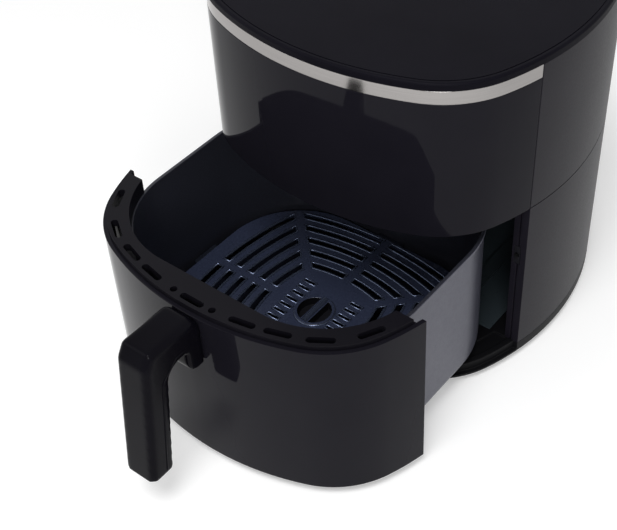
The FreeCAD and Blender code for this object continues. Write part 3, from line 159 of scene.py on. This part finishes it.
def dress(material, *nodes):
    """A material on CAD nodes whose own shape is shown."""
    for node in nodes:
        data = frame["nodes"][node].data
        data.materials.clear()
        data.materials.append(material)


rubber = moulded_plastic("black_moulded_rubber", "#0b0b0b", "#121111", 1.2, 0.06, 0.7, 1.2)
dress(rubber, "rubber_feet", "cord_gland")


def sheet_metal(name, dark, pale, spangle_mm, roughness):
    """A rolled metal: patches of two tones where the plating froze, and fine rolling lines along X."""
    line_run_mm = 50
    line_mm = 0.8
    line_depth_mm = 0.04
    line_strength = 0.3
    rough_swing = 0.08
    material = bpy.data.materials.new(name)
    material.use_nodes = True
    tree = material.node_tree
    surface = tree.nodes["Principled BSDF"]
    surface.inputs["Metallic"].default_value = 1.0
    place = add(tree, "ShaderNodeTexCoord").outputs["Object"]
    patch = add(tree, "ShaderNodeTexVoronoi", {"Scale": 1000 / spangle_mm}, {"Vector": place})
    grey = add(tree, "ShaderNodeRGBToBW", None, {"Color": patch.outputs["Color"]})
    tone = add(tree, "ShaderNodeValToRGB", None, {"Fac": grey.outputs["Val"]})
    tone.color_ramp.elements[0].color = linear(dark)
    tone.color_ramp.elements[1].color = linear(pale)
    along = add(tree, "ShaderNodeMapping", {"Scale": (1000 / line_run_mm, 1000 / line_mm, 1000 / line_mm)},
                {"Vector": place})
    lines = add(tree, "ShaderNodeTexNoise", {"Scale": 1.0, "Detail": 2.0},
                {"Vector": along.outputs["Vector"]})
    rough = add(tree, "ShaderNodeMapRange",
                {"To Min": roughness - rough_swing, "To Max": roughness + rough_swing},
                {"Value": lines.outputs["Fac"]})
    bump = add(tree, "ShaderNodeBump", {"Strength": line_strength, "Distance": line_depth_mm / 1000},
               {"Height": lines.outputs["Fac"]})
    tree.links.new(tone.outputs["Color"], surface.inputs["Base Color"])
    tree.links.new(rough.outputs["Result"], surface.inputs["Roughness"])
    tree.links.new(bump.outputs["Normal"], surface.inputs["Normal"])
    return material


zinc = sheet_metal("zinc_plated_steel", "#a5a39c", "#b9b8b3", 2.0, 0.32)
dress(zinc, "foot_screws", "handle_screws", "motor_screws", "motor_shaft")

# Runner rails, display carrier and switch plunger: the rails are low strips that the basket slides on.
# Acetal, moulded smooth and slippery, slightly waxy where it has been rubbed; the rails are grey.
acetal = moulded_plastic("dark_acetal", "#0d0d0e", "#121213", 2.0, 0.03, 0.34, 1.2)
dress(acetal, "display_carrier", "switch_plunger")
grey_acetal = moulded_plastic("grey_acetal", "#282e32", "#30373b", 2.0, 0.03, 0.34, 1.2)
dress(grey_acetal, "runner_rails")

# Lower and upper housing: the two side and back shells, parted by a level seam.
# Grained ABS, a shade paler than the tray; the forward faces of the flange beside the cavity are painted
# darker as painted shade, though they are the same plastic.
side_abs = moulded_plastic("grained_grey_abs", "#121017", "#17151c", 1.5, 0.05, 0.42, 1.24)
flange_abs_painted_shade = moulded_plastic("grained_abs_painted_flange_shade", "#141219", "#1a181f", 1.5, 0.05, 0.46, 1.17)
lower_housing = edged("lower_housing", 0.5, side_abs, flange_abs_painted_shade)
edged("upper_housing", 0.5, side_abs)
faces_forward = -0.9
# Faces looking forward take the darker copy of the side plastic: painted shade.
for face in lower_housing.data.polygons:
    if face.normal.y < faces_forward:
        face.material_index = 1

# Cavity liner and roof: folded sheet behind the basket, open to the front, with a mouth for hot air.
# Aluminised steel, left bare and dulled by heat, with the soft patches that the plating leaves. Its tone is
# raised and tinted teal as painted light, for light that hardly reaches into the cavity.
cavity_sheet_painted_light = sheet_metal("aluminised_steel_painted_cavity_light", "#5c676b", "#6b777b", 6.0, 0.4)
dress(cavity_sheet_painted_light, "cavity_liner", "cavity_roof")

# Floor sheet: a thin plain sheet laid between the liner's walls under the runners, with its edges just
# broken.
# Its grey-green tone is a painted reflection: it stands in for the dim teal reflection in the gap beside the
# basket.
reflection_sheet_paint = moulded_plastic("grey_green_painted_reflection", "#2b3236", "#333b40", 2.5, 0.02, 0.3, 1.4)
sheet_half = 0.105
sheet_front = 0.036
sheet_back = 0.185
sheet_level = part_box("runner_rails")[0].z
sheet_thick = 0.0006
sheet_break = 0.0002
sheet_size = (2 * sheet_half, sheet_back - sheet_front, sheet_thick)
sheet_middle = (0, (sheet_front + sheet_back) / 2, sheet_level + sheet_thick / 2)
sheet_mesh = bpy.data.meshes.new("painted_reflection_sheet")
sheet_shape = bmesh.new()
bmesh.ops.create_cube(sheet_shape, size=1.0)
bmesh.ops.scale(sheet_shape, vec=sheet_size, verts=sheet_shape.verts)
bmesh.ops.translate(sheet_shape, vec=sheet_middle, verts=sheet_shape.verts)
bmesh.ops.bevel(sheet_shape, geom=sheet_shape.edges, offset=sheet_break, segments=1, affect="EDGES")
sheet_shape.to_mesh(sheet_mesh)
sheet_shape.free()
# The grey-green tone on this sheet is a painted reflection.
sheet_mesh.materials.append(reflection_sheet_paint)
painted_reflection_sheet = bpy.data.objects.new("painted_reflection_sheet", sheet_mesh)
bpy.context.scene.collection.objects.link(painted_reflection_sheet)
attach(painted_reflection_sheet, body_of("cavity_liner"))

# Rear air grille: a louvre that drops into the window at the back and lets the works breathe.
# Grained ABS as on the sides, its bars rounded by the tool, with a slanted blade behind each opening.
edged("rear_grille", 0.4, side_abs)


def tree_with(name, sizes):
    """A Geometry Nodes tree with a mesh in, a finish and named sizes, and a mesh out."""
    tree = bpy.data.node_groups.new(name, "GeometryNodeTree")
    tree.interface.new_socket("Mesh", in_out="INPUT", socket_type="NodeSocketGeometry")
    tree.interface.new_socket("Finish", in_out="INPUT", socket_type="NodeSocketMaterial")
    for size in sizes:
        tree.interface.new_socket(size, in_out="INPUT", socket_type="NodeSocketFloat")
    tree.interface.new_socket("Mesh", in_out="OUTPUT", socket_type="NodeSocketGeometry")
    return tree, add(tree, "NodeGroupInput").outputs


def close_tree(tree, given, made):
    """The end of every tree: plain smooth faces in the given finish."""
    smooth = add(tree, "GeometryNodeSetShadeSmooth", None, {"Geometry": made})
    real = add(tree, "GeometryNodeRealizeInstances", None, {"Geometry": smooth.outputs["Geometry"]})
    finish = add(tree, "GeometryNodeSetMaterial", None,
                 {"Geometry": real.outputs["Geometry"], "Material": given["Finish"]})
    add(tree, "NodeGroupOutput", None, {"Mesh": finish.outputs["Geometry"]})


def baked(name, mesh, tree, sizes, node):
    """A piece that a tree makes from a mesh, turned into a plain mesh that rides with a CAD node."""
    piece = bpy.data.objects.new(name, mesh)
    bpy.context.scene.collection.objects.link(piece)
    maker = piece.modifiers.new("maker", "NODES")
    maker.node_group = tree
    for item in tree.interface.items_tree:
        if item.in_out == "INPUT" and item.name in sizes:
            maker[item.identifier] = sizes[item.name]
    bpy.context.view_layer.update()
    evaluated = piece.evaluated_get(bpy.context.evaluated_depsgraph_get())
    shape = bpy.data.meshes.new_from_object(evaluated)
    piece.modifiers.remove(maker)
    piece.data = shape
    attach(piece, body_of(node))
    return piece


blades_tree, blade_in = tree_with("louvre_blades",
                                  ["Back radius", "Sweep", "Blade depth", "Blade sheet", "Slant"])
spine = add(blades_tree, "GeometryNodeCurveArc", {"Resolution": 24},
            {"Radius": blade_in["Back radius"], "Sweep Angle": blade_in["Sweep"]})
level_spine = add(blades_tree, "GeometryNodeSetCurveNormal", {"mode": "Z_UP"},
                  {"Curve": spine.outputs["Curve"]})
section = add(blades_tree, "GeometryNodeCurvePrimitiveQuadrilateral", None,
              {"Width": blade_in["Blade depth"], "Height": blade_in["Blade sheet"]})
lean = add(blades_tree, "ShaderNodeCombineXYZ", None, {"Z": blade_in["Slant"]})
slanted = add(blades_tree, "GeometryNodeTransform", None,
              {"Geometry": section.outputs["Curve"], "Rotation": lean.outputs["Vector"]})
blade = add(blades_tree, "GeometryNodeCurveToMesh", {"Fill Caps": True},
            {"Curve": level_spine.outputs["Curve"], "Profile Curve": slanted.outputs["Geometry"]})
half_sweep = add(blades_tree, "ShaderNodeMath", {"operation": "MULTIPLY"}, {0: blade_in["Sweep"]})
half_sweep.inputs[1].default_value = -0.5
quarter_on = add(blades_tree, "ShaderNodeMath", {"operation": "ADD"}, {0: half_sweep.outputs["Value"]})
quarter_on.inputs[1].default_value = math.pi / 2
facing = add(blades_tree, "ShaderNodeCombineXYZ", None, {"Z": quarter_on.outputs["Value"]})
rows = add(blades_tree, "GeometryNodeInstanceOnPoints", None,
           {"Points": blade_in["Mesh"], "Instance": blade.outputs["Mesh"],
            "Rotation": facing.outputs["Vector"]})
close_tree(blades_tree, blade_in, rows.outputs["Instances"])
grille_low, grille_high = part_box("rear_grille")
back_radius = 0.260
blade_half_width = 0.0405
blade_depth = 0.0046
blade_thick = 0.0008
blade_slant = math.radians(40)
blade_sink = 0.0038
blade_pitch = 0.0065
bottom_bar = 0.0047
blade_rise = 0.0016
blade_count = 5
first_blade = bottom_bar + blade_rise
blade_axis = grille_high.y - blade_sink - back_radius
rows_mesh = bpy.data.meshes.new("louvre_rows")
rows_mesh.from_pydata([(0, blade_axis, grille_low.z + first_blade + number * blade_pitch)
                       for number in range(blade_count)], [], [])
baked("grille_blades", rows_mesh, blades_tree,
      {"Finish": side_abs, "Back radius": back_radius, "Sweep": 2 * math.asin(blade_half_width / back_radius),
       "Blade depth": blade_depth, "Blade sheet": blade_thick, "Slant": blade_slant}, "rear_grille")

# Front panel and drawer front: the two gloss shells of the face, one fixed and one on the drawer.
# Polished black ABS: a mirror with only the faint haze that wiping leaves.
haze_mm = 30
gloss_abs = bpy.data.materials.new("polished_black_abs")
gloss_abs.use_nodes = True
gloss_tree = gloss_abs.node_tree
gloss_surface = gloss_tree.nodes["Principled BSDF"]
gloss_surface.inputs["IOR"].default_value = 1.15
gloss_place = add(gloss_tree, "ShaderNodeTexCoord").outputs["Object"]
haze = add(gloss_tree, "ShaderNodeTexNoise", {"Scale": 1000 / haze_mm, "Detail": 5.0},
           {"Vector": gloss_place})
gloss_tone = add(gloss_tree, "ShaderNodeValToRGB", None, {"Fac": haze.outputs["Fac"]})
gloss_tone.color_ramp.elements[0].color = linear("#141319")
gloss_tone.color_ramp.elements[1].color = linear("#18171d")
gloss_rough = add(gloss_tree, "ShaderNodeMapRange", {"To Min": 0.02, "To Max": 0.07},
                  {"Value": haze.outputs["Fac"]})
gloss_tree.links.new(gloss_tone.outputs["Color"], gloss_surface.inputs["Base Color"])
gloss_tree.links.new(gloss_rough.outputs["Result"], gloss_surface.inputs["Roughness"])
edged("front_panel", 0.6, gloss_abs)
edged("drawer_front", 0.7, gloss_abs)

# Trim band: a thin bright strip let in between the gloss panel and the top cover.
# Aluminium, brushed along its length and clear anodised, so it still mirrors what is before it.
# The brush lines are drawn coarser than the real ones, so that they show.
brush_run_mm = 40
brush_line_mm = 0.7
brush_depth_mm = 0.02
trim_metal = bpy.data.materials.new("brushed_anodised_aluminium")
trim_metal.use_nodes = True
trim_tree = trim_metal.node_tree
trim_surface = trim_tree.nodes["Principled BSDF"]
trim_surface.inputs["Metallic"].default_value = 1.0
trim_place = add(trim_tree, "ShaderNodeTexCoord").outputs["Object"]
brushing = add(trim_tree, "ShaderNodeMapping",
               {"Scale": (1000 / brush_run_mm, 1000 / brush_run_mm, 1000 / brush_line_mm)},
               {"Vector": trim_place})
brush_lines = add(trim_tree, "ShaderNodeTexNoise", {"Scale": 1.0, "Detail": 3.0},
                  {"Vector": brushing.outputs["Vector"]})
trim_tone = add(trim_tree, "ShaderNodeValToRGB", None, {"Fac": brush_lines.outputs["Fac"]})
trim_tone.color_ramp.elements[0].color = linear("#8c8988")
trim_tone.color_ramp.elements[1].color = linear("#9f9c9a")
trim_rough = add(trim_tree, "ShaderNodeMapRange", {"To Min": 0.07, "To Max": 0.16},
                 {"Value": brush_lines.outputs["Fac"]})
trim_bump = add(trim_tree, "ShaderNodeBump", {"Strength": 0.1, "Distance": brush_depth_mm / 1000},
                {"Height": brush_lines.outputs["Fac"]})
trim_tree.links.new(trim_tone.outputs["Color"], trim_surface.inputs["Base Color"])
trim_tree.links.new(trim_rough.outputs["Result"], trim_surface.inputs["Roughness"])
trim_tree.links.new(trim_bump.outputs["Normal"], trim_surface.inputs["Normal"])
edged("trim_band", 0.4, trim_metal)

# Top cover: the flat lid with a soft edge and a thin line around it.
# Slate ABS with a finer, duller grain than the sides, which takes the light evenly.
slate_abs = moulded_plastic("grained_slate_abs", "#09080f", "#0d0c13", 1.3, 0.05, 0.5, 1.12)
dress(slate_abs, "top_cover")

# Stamped sheet of the works: the dish, its bridge, the sensor, the cut-out and the drawer's bracket.
# Bright aluminised steel with the small patches that the plating leaves.
bright_sheet = sheet_metal("aluminised_steel_sheet", "#8f8f8c", "#a9a9a6", 5.0, 0.3)
dress(bright_sheet, "heat_reflector", "motor_bridge", "temperature_sensor", "thermal_cutout",
      "drawer_bracket")

# Heating element: one sheathed tube of two turns; heat has browned it.
# Nickel alloy, dull and dark, with straw and brown tints in patches.
element_alloy = sheet_metal("heat_tinted_nickel_alloy", "#3a332d", "#5a5048", 9.0, 0.45)
dress(element_alloy, "heating_element")

# Ceramic bushes that carry the element's ends through the dish.
# Glazed steatite: ivory, glossy, with a little unevenness in the glaze.
ceramic = moulded_plastic("glazed_steatite", "#d8d2c2", "#e3ded0", 3.0, 0.03, 0.2, 1.55)
dress(ceramic, "ceramic_bushes")

# Fans: pressed discs with blades, one over and one under the dish, on one shaft.
# Plain rolled aluminium, dull silver with fine rolling lines.
fan_sheet = sheet_metal("rolled_aluminium", "#b4b5b6", "#c4c5c6", 6.0, 0.36)
dress(fan_sheet, "hot_air_fan", "cooling_fan")

# Motor and its bearings: a painted stator pack over two bronze bushes.
# The pack is stoved enamel on steel; the bushes are sintered bronze, porous and oily.
motor_enamel = moulded_plastic("stoved_grey_enamel", "#3d3e40", "#47484a", 2.0, 0.05, 0.36, 1.5)
dress(motor_enamel, "fan_motor")
bronze = sheet_metal("sintered_bronze", "#8a6a3c", "#a27f4b", 0.8, 0.4)
dress(bronze, "motor_bearings")

# Boards: the display's and the power board, each a sheet of glass-fibre laminate.
# Green solder resist over copper runs, which show as paler level lines.
run_mm = 20
board = bpy.data.materials.new("green_glass_fibre_laminate")
board.use_nodes = True
board_tree = board.node_tree
board_surface = board_tree.nodes["Principled BSDF"]
board_surface.inputs["Roughness"].default_value = 0.35
board_place = add(board_tree, "ShaderNodeTexCoord").outputs["Object"]
upright = add(board_tree, "ShaderNodeMapping", {"Rotation": (math.radians(90), 0, 0)},
              {"Vector": board_place})
copper_runs = add(board_tree, "ShaderNodeTexBrick",
                  {"Scale": 1000 / run_mm, "Mortar Size": 0.03, "Color1": linear("#0d3d22"),
                   "Color2": linear("#10472a"), "Mortar": linear("#2c6b45")},
                  {"Vector": upright.outputs["Vector"]})
board_tree.links.new(copper_runs.outputs["Color"], board_surface.inputs["Base Color"])
dress(board, "display_board", "power_board")

# Display, power components and drawer switch: small moulded housings on the boards and in the flange.
# The display is smoked acrylic; the others are glass-filled nylon, dull and slightly fibrous.
smoked_acrylic = moulded_plastic("smoked_acrylic", "#0c0c10", "#101014", 4.0, 0.01, 0.12, 1.49)
dress(smoked_acrylic, "display_module")
# The same dark nylon also goes into the plate grip's cup as painted shade.
nylon_and_painted_cup_shade = moulded_plastic("glass_filled_nylon_and_painted_cup_shade", "#131317", "#19191d", 1.2, 0.06, 0.5, 1.2)
dress(nylon_and_painted_cup_shade, "power_components", "drawer_switch")

# Basket: a drawn steel tub with a rolled rim, riding on the rails.
# A slate non-stick film is sprayed and baked on it, satin. Its outside and underside are painted paler as
# painted light, and its floor is painted darker as painted shade.
# Its flecks are drawn coarser than the real ones, so that they show.


def non_stick(name, dark, pale, roughness, metallic, ior):
    """A baked non-stick film over metal, with flecks in it and a faint sprayed unevenness."""
    fleck_mm = 1.4
    spray_mm = 6.0
    spray_depth_mm = 0.05
    spray_strength = 0.2
    rough_swing = 0.05
    material = bpy.data.materials.new(name)
    material.use_nodes = True
    tree = material.node_tree
    surface = tree.nodes["Principled BSDF"]
    surface.inputs["Metallic"].default_value = metallic
    surface.inputs["IOR"].default_value = ior
    place = add(tree, "ShaderNodeTexCoord").outputs["Object"]
    fleck = add(tree, "ShaderNodeTexNoise", {"Scale": 1000 / fleck_mm, "Detail": 3.0}, {"Vector": place})
    tone = add(tree, "ShaderNodeValToRGB", None, {"Fac": fleck.outputs["Fac"]})
    tone.color_ramp.elements[0].position = 0.35
    tone.color_ramp.elements[0].color = linear(dark)
    tone.color_ramp.elements[1].position = 0.75
    tone.color_ramp.elements[1].color = linear(pale)
    spray = add(tree, "ShaderNodeTexNoise", {"Scale": 1000 / spray_mm, "Detail": 1.0}, {"Vector": place})
    rough = add(tree, "ShaderNodeMapRange",
                {"To Min": roughness - rough_swing, "To Max": roughness + rough_swing},
                {"Value": spray.outputs["Fac"]})
    bump = add(tree, "ShaderNodeBump", {"Strength": spray_strength, "Distance": spray_depth_mm / 1000},
               {"Height": spray.outputs["Fac"]})
    tree.links.new(tone.outputs["Color"], surface.inputs["Base Color"])
    tree.links.new(rough.outputs["Result"], surface.inputs["Roughness"])
    tree.links.new(bump.outputs["Normal"], surface.inputs["Normal"])
    return material


inner_film = non_stick("slate_non_stick_film", "#272830", "#303139", 0.34, 0.2, 1.4)
outer_film_painted_light = non_stick("slate_non_stick_film_painted_light", "#42434f", "#4d4e5a", 0.36, 0.5, 1.45)
floor_film_painted_shade = non_stick("slate_non_stick_film_painted_shade", "#151722", "#1b1d29", 0.42, 0.2, 1.3)
basket = edged("basket", 0.5, inner_film, outer_film_painted_light, floor_film_painted_shade)
basket_low, basket_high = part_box("basket")
basket_middle = (basket_low + basket_high) / 2
bottom_sheet = 0.0006
wall_lean = 0.5
faces_up = 0.9
# Outside and underside take the paler film as painted light; the floor inside takes the darker film as
# painted shade.
for face in basket.data.polygons:
    away = face.center - basket_middle
    outward = face.normal.x * away.x + face.normal.y * away.y > 0 and abs(face.normal.z) < wall_lean
    if outward or face.center.z < basket_low.z + bottom_sheet:
        face.material_index = 1
    elif face.normal.z > faces_up and face.center.z < basket_middle.z:
        face.material_index = 2

# Crisper plate, its bumpers and finger grip: the pressed tray in the basket that food lies on.
# The press rolls a lip around every slot; the plate has a bluer film than the basket, and the bumpers are
# silicone. The lips and the grip's round bar take a paler, more metallic film as a painted highlight,
# and the grip's cup below its rim takes dark nylon as painted shade.
plate_film = non_stick("navy_non_stick_film", "#31374c", "#3d445a", 0.27, 0.2, 1.5)
# The lips and the pinch bar take this paler, more metallic film as a painted highlight.
lip_film_painted_highlight = non_stick("non_stick_lip_painted_highlight", "#50586e", "#606a82", 0.18, 0.7, 1.5)
edged("crisper_plate", 0.5, plate_film)
silicone = moulded_plastic("dark_slate_silicone", "#14171f", "#191c25", 1.2, 0.04, 0.55, 1.2)
edged("plate_bumpers", 0.8, silicone)
plate_grip = edged("plate_grip", 0.8, plate_film, nylon_and_painted_cup_shade, segments=4)
grip_low, grip_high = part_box("plate_grip")
rim_sheet = 0.001
# Below the rim, the cup takes the dark nylon as painted shade; the rim keeps the plate's film.
for face in plate_grip.data.polygons:
    if face.center.z < grip_high.z - rim_sheet:
        face.material_index = 1
round_tree, round_in = tree_with("round_run", ["Run radius", "Bend radius"])
path = add(round_tree, "GeometryNodeMeshToCurve", None, {"Mesh": round_in["Mesh"]})
bent = add(round_tree, "GeometryNodeFilletCurve", None,
           {"Curve": path.outputs["Curve"], "Radius": round_in["Bend radius"]})
fine = add(round_tree, "GeometryNodeResampleCurve", {"Count": 60}, {"Curve": bent.outputs["Curve"]})
ring = add(round_tree, "GeometryNodeCurvePrimitiveCircle", {"Resolution": 12},
           {"Radius": round_in["Run radius"]})
round_run = add(round_tree, "GeometryNodeCurveToMesh", {"Fill Caps": True},
                {"Curve": fine.outputs["Curve"], "Profile Curve": ring.outputs["Curve"]})
close_tree(round_tree, round_in, round_run.outputs["Mesh"])
bar_radius = 0.0027
bar_reach = 0.0138
bar_sink = 0.0008
bar_y = (grip_low.y + grip_high.y) / 2
bar_z = grip_high.z - bar_sink
bar_mesh = bpy.data.meshes.new("pinch_bar_path")
bar_mesh.from_pydata([(0, bar_y - bar_reach, bar_z), (0, bar_y + bar_reach, bar_z)], [(0, 1)], [])
baked("pinch_bar", bar_mesh, round_tree,
      {"Finish": lip_film_painted_highlight, "Run radius": bar_radius, "Bend radius": 0.0}, "plate_grip")
lips_tree, lips_in = tree_with("rolled_lips", ["Lip radius", "Sheet top", "Longest lip"])
bend = add(lips_tree, "GeometryNodeInputMeshEdgeAngle")
sharp = add(lips_tree, "FunctionNodeCompare", {"operation": "GREATER_THAN"},
            {0: bend.outputs["Unsigned Angle"]})
sharp.inputs[1].default_value = math.radians(60)
point = add(lips_tree, "GeometryNodeInputPosition")
rise = add(lips_tree, "ShaderNodeSeparateXYZ", None, {"Vector": point.outputs["Position"]})
on_top = add(lips_tree, "FunctionNodeCompare", {"operation": "GREATER_THAN"},
             {0: rise.outputs["Z"], 1: lips_in["Sheet top"]})
wanted = add(lips_tree, "FunctionNodeBooleanMath", {"operation": "AND"},
             {0: sharp.outputs["Result"], 1: on_top.outputs["Result"]})
rims = add(lips_tree, "GeometryNodeMeshToCurve", None,
           {"Mesh": lips_in["Mesh"], "Selection": wanted.outputs["Boolean"]})
rim_length = add(lips_tree, "GeometryNodeSplineLength")
too_long = add(lips_tree, "FunctionNodeCompare", {"operation": "GREATER_THAN"},
               {0: rim_length.outputs["Length"], 1: lips_in["Longest lip"]})
slots = add(lips_tree, "GeometryNodeDeleteGeometry", {"domain": "CURVE"},
            {"Geometry": rims.outputs["Curve"], "Selection": too_long.outputs["Result"]})
round_lip = add(lips_tree, "GeometryNodeCurvePrimitiveCircle", {"Resolution": 8},
                {"Radius": lips_in["Lip radius"]})
lips = add(lips_tree, "GeometryNodeCurveToMesh", None,
           {"Curve": slots.outputs["Geometry"], "Profile Curve": round_lip.outputs["Curve"]})
close_tree(lips_tree, lips_in, lips.outputs["Mesh"])
lip_radius = 0.0010
lip_skin = 0.0002
longest_lip = 0.45
plate_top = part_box("crisper_plate")[1].z
baked("slot_lips", twin_mesh("crisper_plate"), lips_tree,
      {"Finish": lip_film_painted_highlight, "Lip radius": lip_radius, "Sheet top": plate_top - lip_skin,
       "Longest lip": longest_lip}, "crisper_plate")

# Drawer frame: the slotted ring that ties the basket to the drawer front.
# Satin glass-filled nylon, black, with a fine grain from the tool.
frame_nylon = moulded_plastic("black_satin_nylon", "#0e0d12", "#121116", 1.6, 0.04, 0.34, 1.16)
edged("drawer_frame", 0.6, frame_nylon)

# Handle: the bent grip, screwed to the drawer front from behind.
# Satin black ABS with a tight grain. All its edges are softened as one skin, and a fine welt runs along
# each side where the halves of the tool met.
handle_abs = moulded_plastic("black_satin_abs", "#07060b", "#0b0a10", 1.4, 0.02, 0.2, 1.12)
handle = twin("handle", handle_abs)
skin = handle.modifiers.new("skin", "REMESH")
skin.mode = "VOXEL"
skin.voxel_size = 1.2 / 1000
skin.use_smooth_shade = True
soften = handle.modifiers.new("soften", "SMOOTH")
soften.factor = 0.5
soften.iterations = 14
handle_low, handle_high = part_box("handle")
welt_radius = 0.0006
welt_bend = 0.015
welt_start = 0.0165
welt_elbow = 0.0365
welt_drop = 0.017
welt_foot_in = 0.0135
welt_foot_up = 0.0035
welt_points = []
welt_runs = []
for side in (handle_low.x, handle_high.x):
    first = len(welt_points)
    welt_points += [(side, handle_high.y - welt_start, handle_high.z - welt_drop),
                    (side, handle_high.y - welt_elbow, handle_high.z - welt_drop),
                    (side, handle_low.y + welt_foot_in, handle_low.z + welt_foot_up)]
    welt_runs += [(first, first + 1), (first + 1, first + 2)]
welt_mesh = bpy.data.meshes.new("welt_path")
welt_mesh.from_pydata(welt_points, welt_runs, [])
baked("handle_welt", welt_mesh, round_tree,
      {"Finish": handle_abs, "Run radius": welt_radius, "Bend radius": welt_bend}, "handle")

# Floor: a pale sweep of studio paper under the object. It takes the shadow, and its own faint glow
# towards the camera keeps it white.
floor_half = 6.0
floor_glow = 0.22
floor_mesh = bpy.data.meshes.new("studio_floor")
floor_mesh.from_pydata([(-floor_half, -floor_half, 0), (floor_half, -floor_half, 0),
                        (floor_half, floor_half, 0), (-floor_half, floor_half, 0)], [], [(0, 1, 2, 3)])
floor = bpy.data.objects.new("studio_floor", floor_mesh)
bpy.context.scene.collection.objects.link(floor)
paper = bpy.data.materials.new("white_studio_paper")
paper.use_nodes = True
paper_tree = paper.node_tree
paper_surface = paper_tree.nodes["Principled BSDF"]
paper_surface.inputs["Base Color"].default_value = linear("#f2f2f2")
paper_surface.inputs["Roughness"].default_value = 0.9
paper_surface.inputs["Specular IOR Level"].default_value = 0.0
paper_surface.inputs["Emission Color"].default_value = (1, 1, 1, 1)
floor_ray = add(paper_tree, "ShaderNodeLightPath")
floor_seen = add(paper_tree, "ShaderNodeMath", {"operation": "ADD"},
                 {0: floor_ray.outputs["Is Camera Ray"], 1: floor_ray.outputs["Is Glossy Ray"]})
floor_shown = add(paper_tree, "ShaderNodeMath", {"operation": "ADD"},
                  {0: floor_seen.outputs["Value"], 1: floor_ray.outputs["Is Transmission Ray"]})
glow = add(paper_tree, "ShaderNodeMath", {"operation": "MULTIPLY"}, {0: floor_shown.outputs["Value"]})
glow.inputs[1].default_value = floor_glow
paper_tree.links.new(glow.outputs["Value"], paper_surface.inputs["Emission Strength"])
floor_mesh.materials.append(paper)

# Light: a white room seen by the camera and in reflections, dimmer as light, and three soft boxes.
# The key hangs high ahead of the drawer, so the rolled edges in the basket catch it, and a low one
# looks into the cavity beside the basket.
room_light = 0.45
room_seen = 1.0
world = bpy.data.worlds.new("white_studio")
bpy.context.scene.world = world
world.use_nodes = True
world_tree = world.node_tree
sky = world_tree.nodes["Background"]
sky.inputs["Color"].default_value = (1, 1, 1, 1)
sky_ray = add(world_tree, "ShaderNodeLightPath")
sky_seen = add(world_tree, "ShaderNodeMath", {"operation": "ADD"},
               {0: sky_ray.outputs["Is Camera Ray"], 1: sky_ray.outputs["Is Glossy Ray"]})
sky_shown = add(world_tree, "ShaderNodeMath", {"operation": "ADD", "use_clamp": True},
                {0: sky_seen.outputs["Value"], 1: sky_ray.outputs["Is Transmission Ray"]})
level = add(world_tree, "ShaderNodeMapRange", {"To Min": room_light, "To Max": room_seen},
            {"Value": sky_shown.outputs["Value"]})
world_tree.links.new(level.outputs["Result"], sky.inputs["Strength"])


def soft_box(name, place, aim, size, power):
    """A round soft box at a place, turned to what it lights."""
    lamp = bpy.data.lights.new(name, "AREA")
    lamp.shape = "DISK"
    lamp.size = size
    lamp.energy = power
    holder = bpy.data.objects.new(name, lamp)
    holder.location = place
    holder.rotation_euler = (Vector(place) - Vector(aim)).to_track_quat("Z", "Y").to_euler()
    bpy.context.scene.collection.objects.link(holder)


soft_box("key_soft_box", place=(0.3, -0.75, 1.75), aim=(0, -0.05, 0.1), size=0.8, power=17.0)
soft_box("fill_soft_box", place=(-1.3, -1.1, 1.5), aim=(0, 0, 0.15), size=1.6, power=6.0)
soft_box("cavity_soft_box", place=(0.85, -1.1, 0.8), aim=(0.1, 0.05, 0.08), size=0.5, power=7.0)

# Camera: stands to the right of the handle and looks down into the drawer.
# Its place and lens were fitted to the edges in a picture of 617 by 530, measured from the housing's middle.
picture_width = 617
focal_px = 1232.589
shift_across_px = -54
shift_up_px = -8
sensor_mm = 36.0
bearing = math.radians(37.874)
elevation = math.radians(43.173)
tilt = math.radians(-1.524)
distance = 1.021596
step_left = 0.041847
step_down = 0.005537
housing_middle = Vector((0, 0.08375, 0.006))
across = Vector((math.cos(bearing), math.sin(bearing), 0))
back = Vector((math.sin(bearing) * math.cos(elevation), -math.cos(bearing) * math.cos(elevation),
               math.sin(elevation)))
up = back.cross(across)
stand = back * distance - across * step_left - up * step_down + housing_middle
right = across * math.cos(tilt) + up * math.sin(tilt)
top = up * math.cos(tilt) - across * math.sin(tilt)
lens = bpy.data.cameras.new("photo_camera")
lens.sensor_fit = "HORIZONTAL"
lens.sensor_width = sensor_mm
lens.lens = sensor_mm * focal_px / picture_width
lens.shift_x = shift_across_px / picture_width
lens.shift_y = shift_up_px / picture_width
lens.clip_end = 50
camera = bpy.data.objects.new("photo_camera", lens)
camera.matrix_world = Matrix.Translation(stand) @ Matrix((right, top, back)).transposed().to_4x4()
bpy.context.scene.collection.objects.link(camera)
bpy.context.scene.camera = camera
bpy.context.scene.view_settings.view_transform = "Standard"
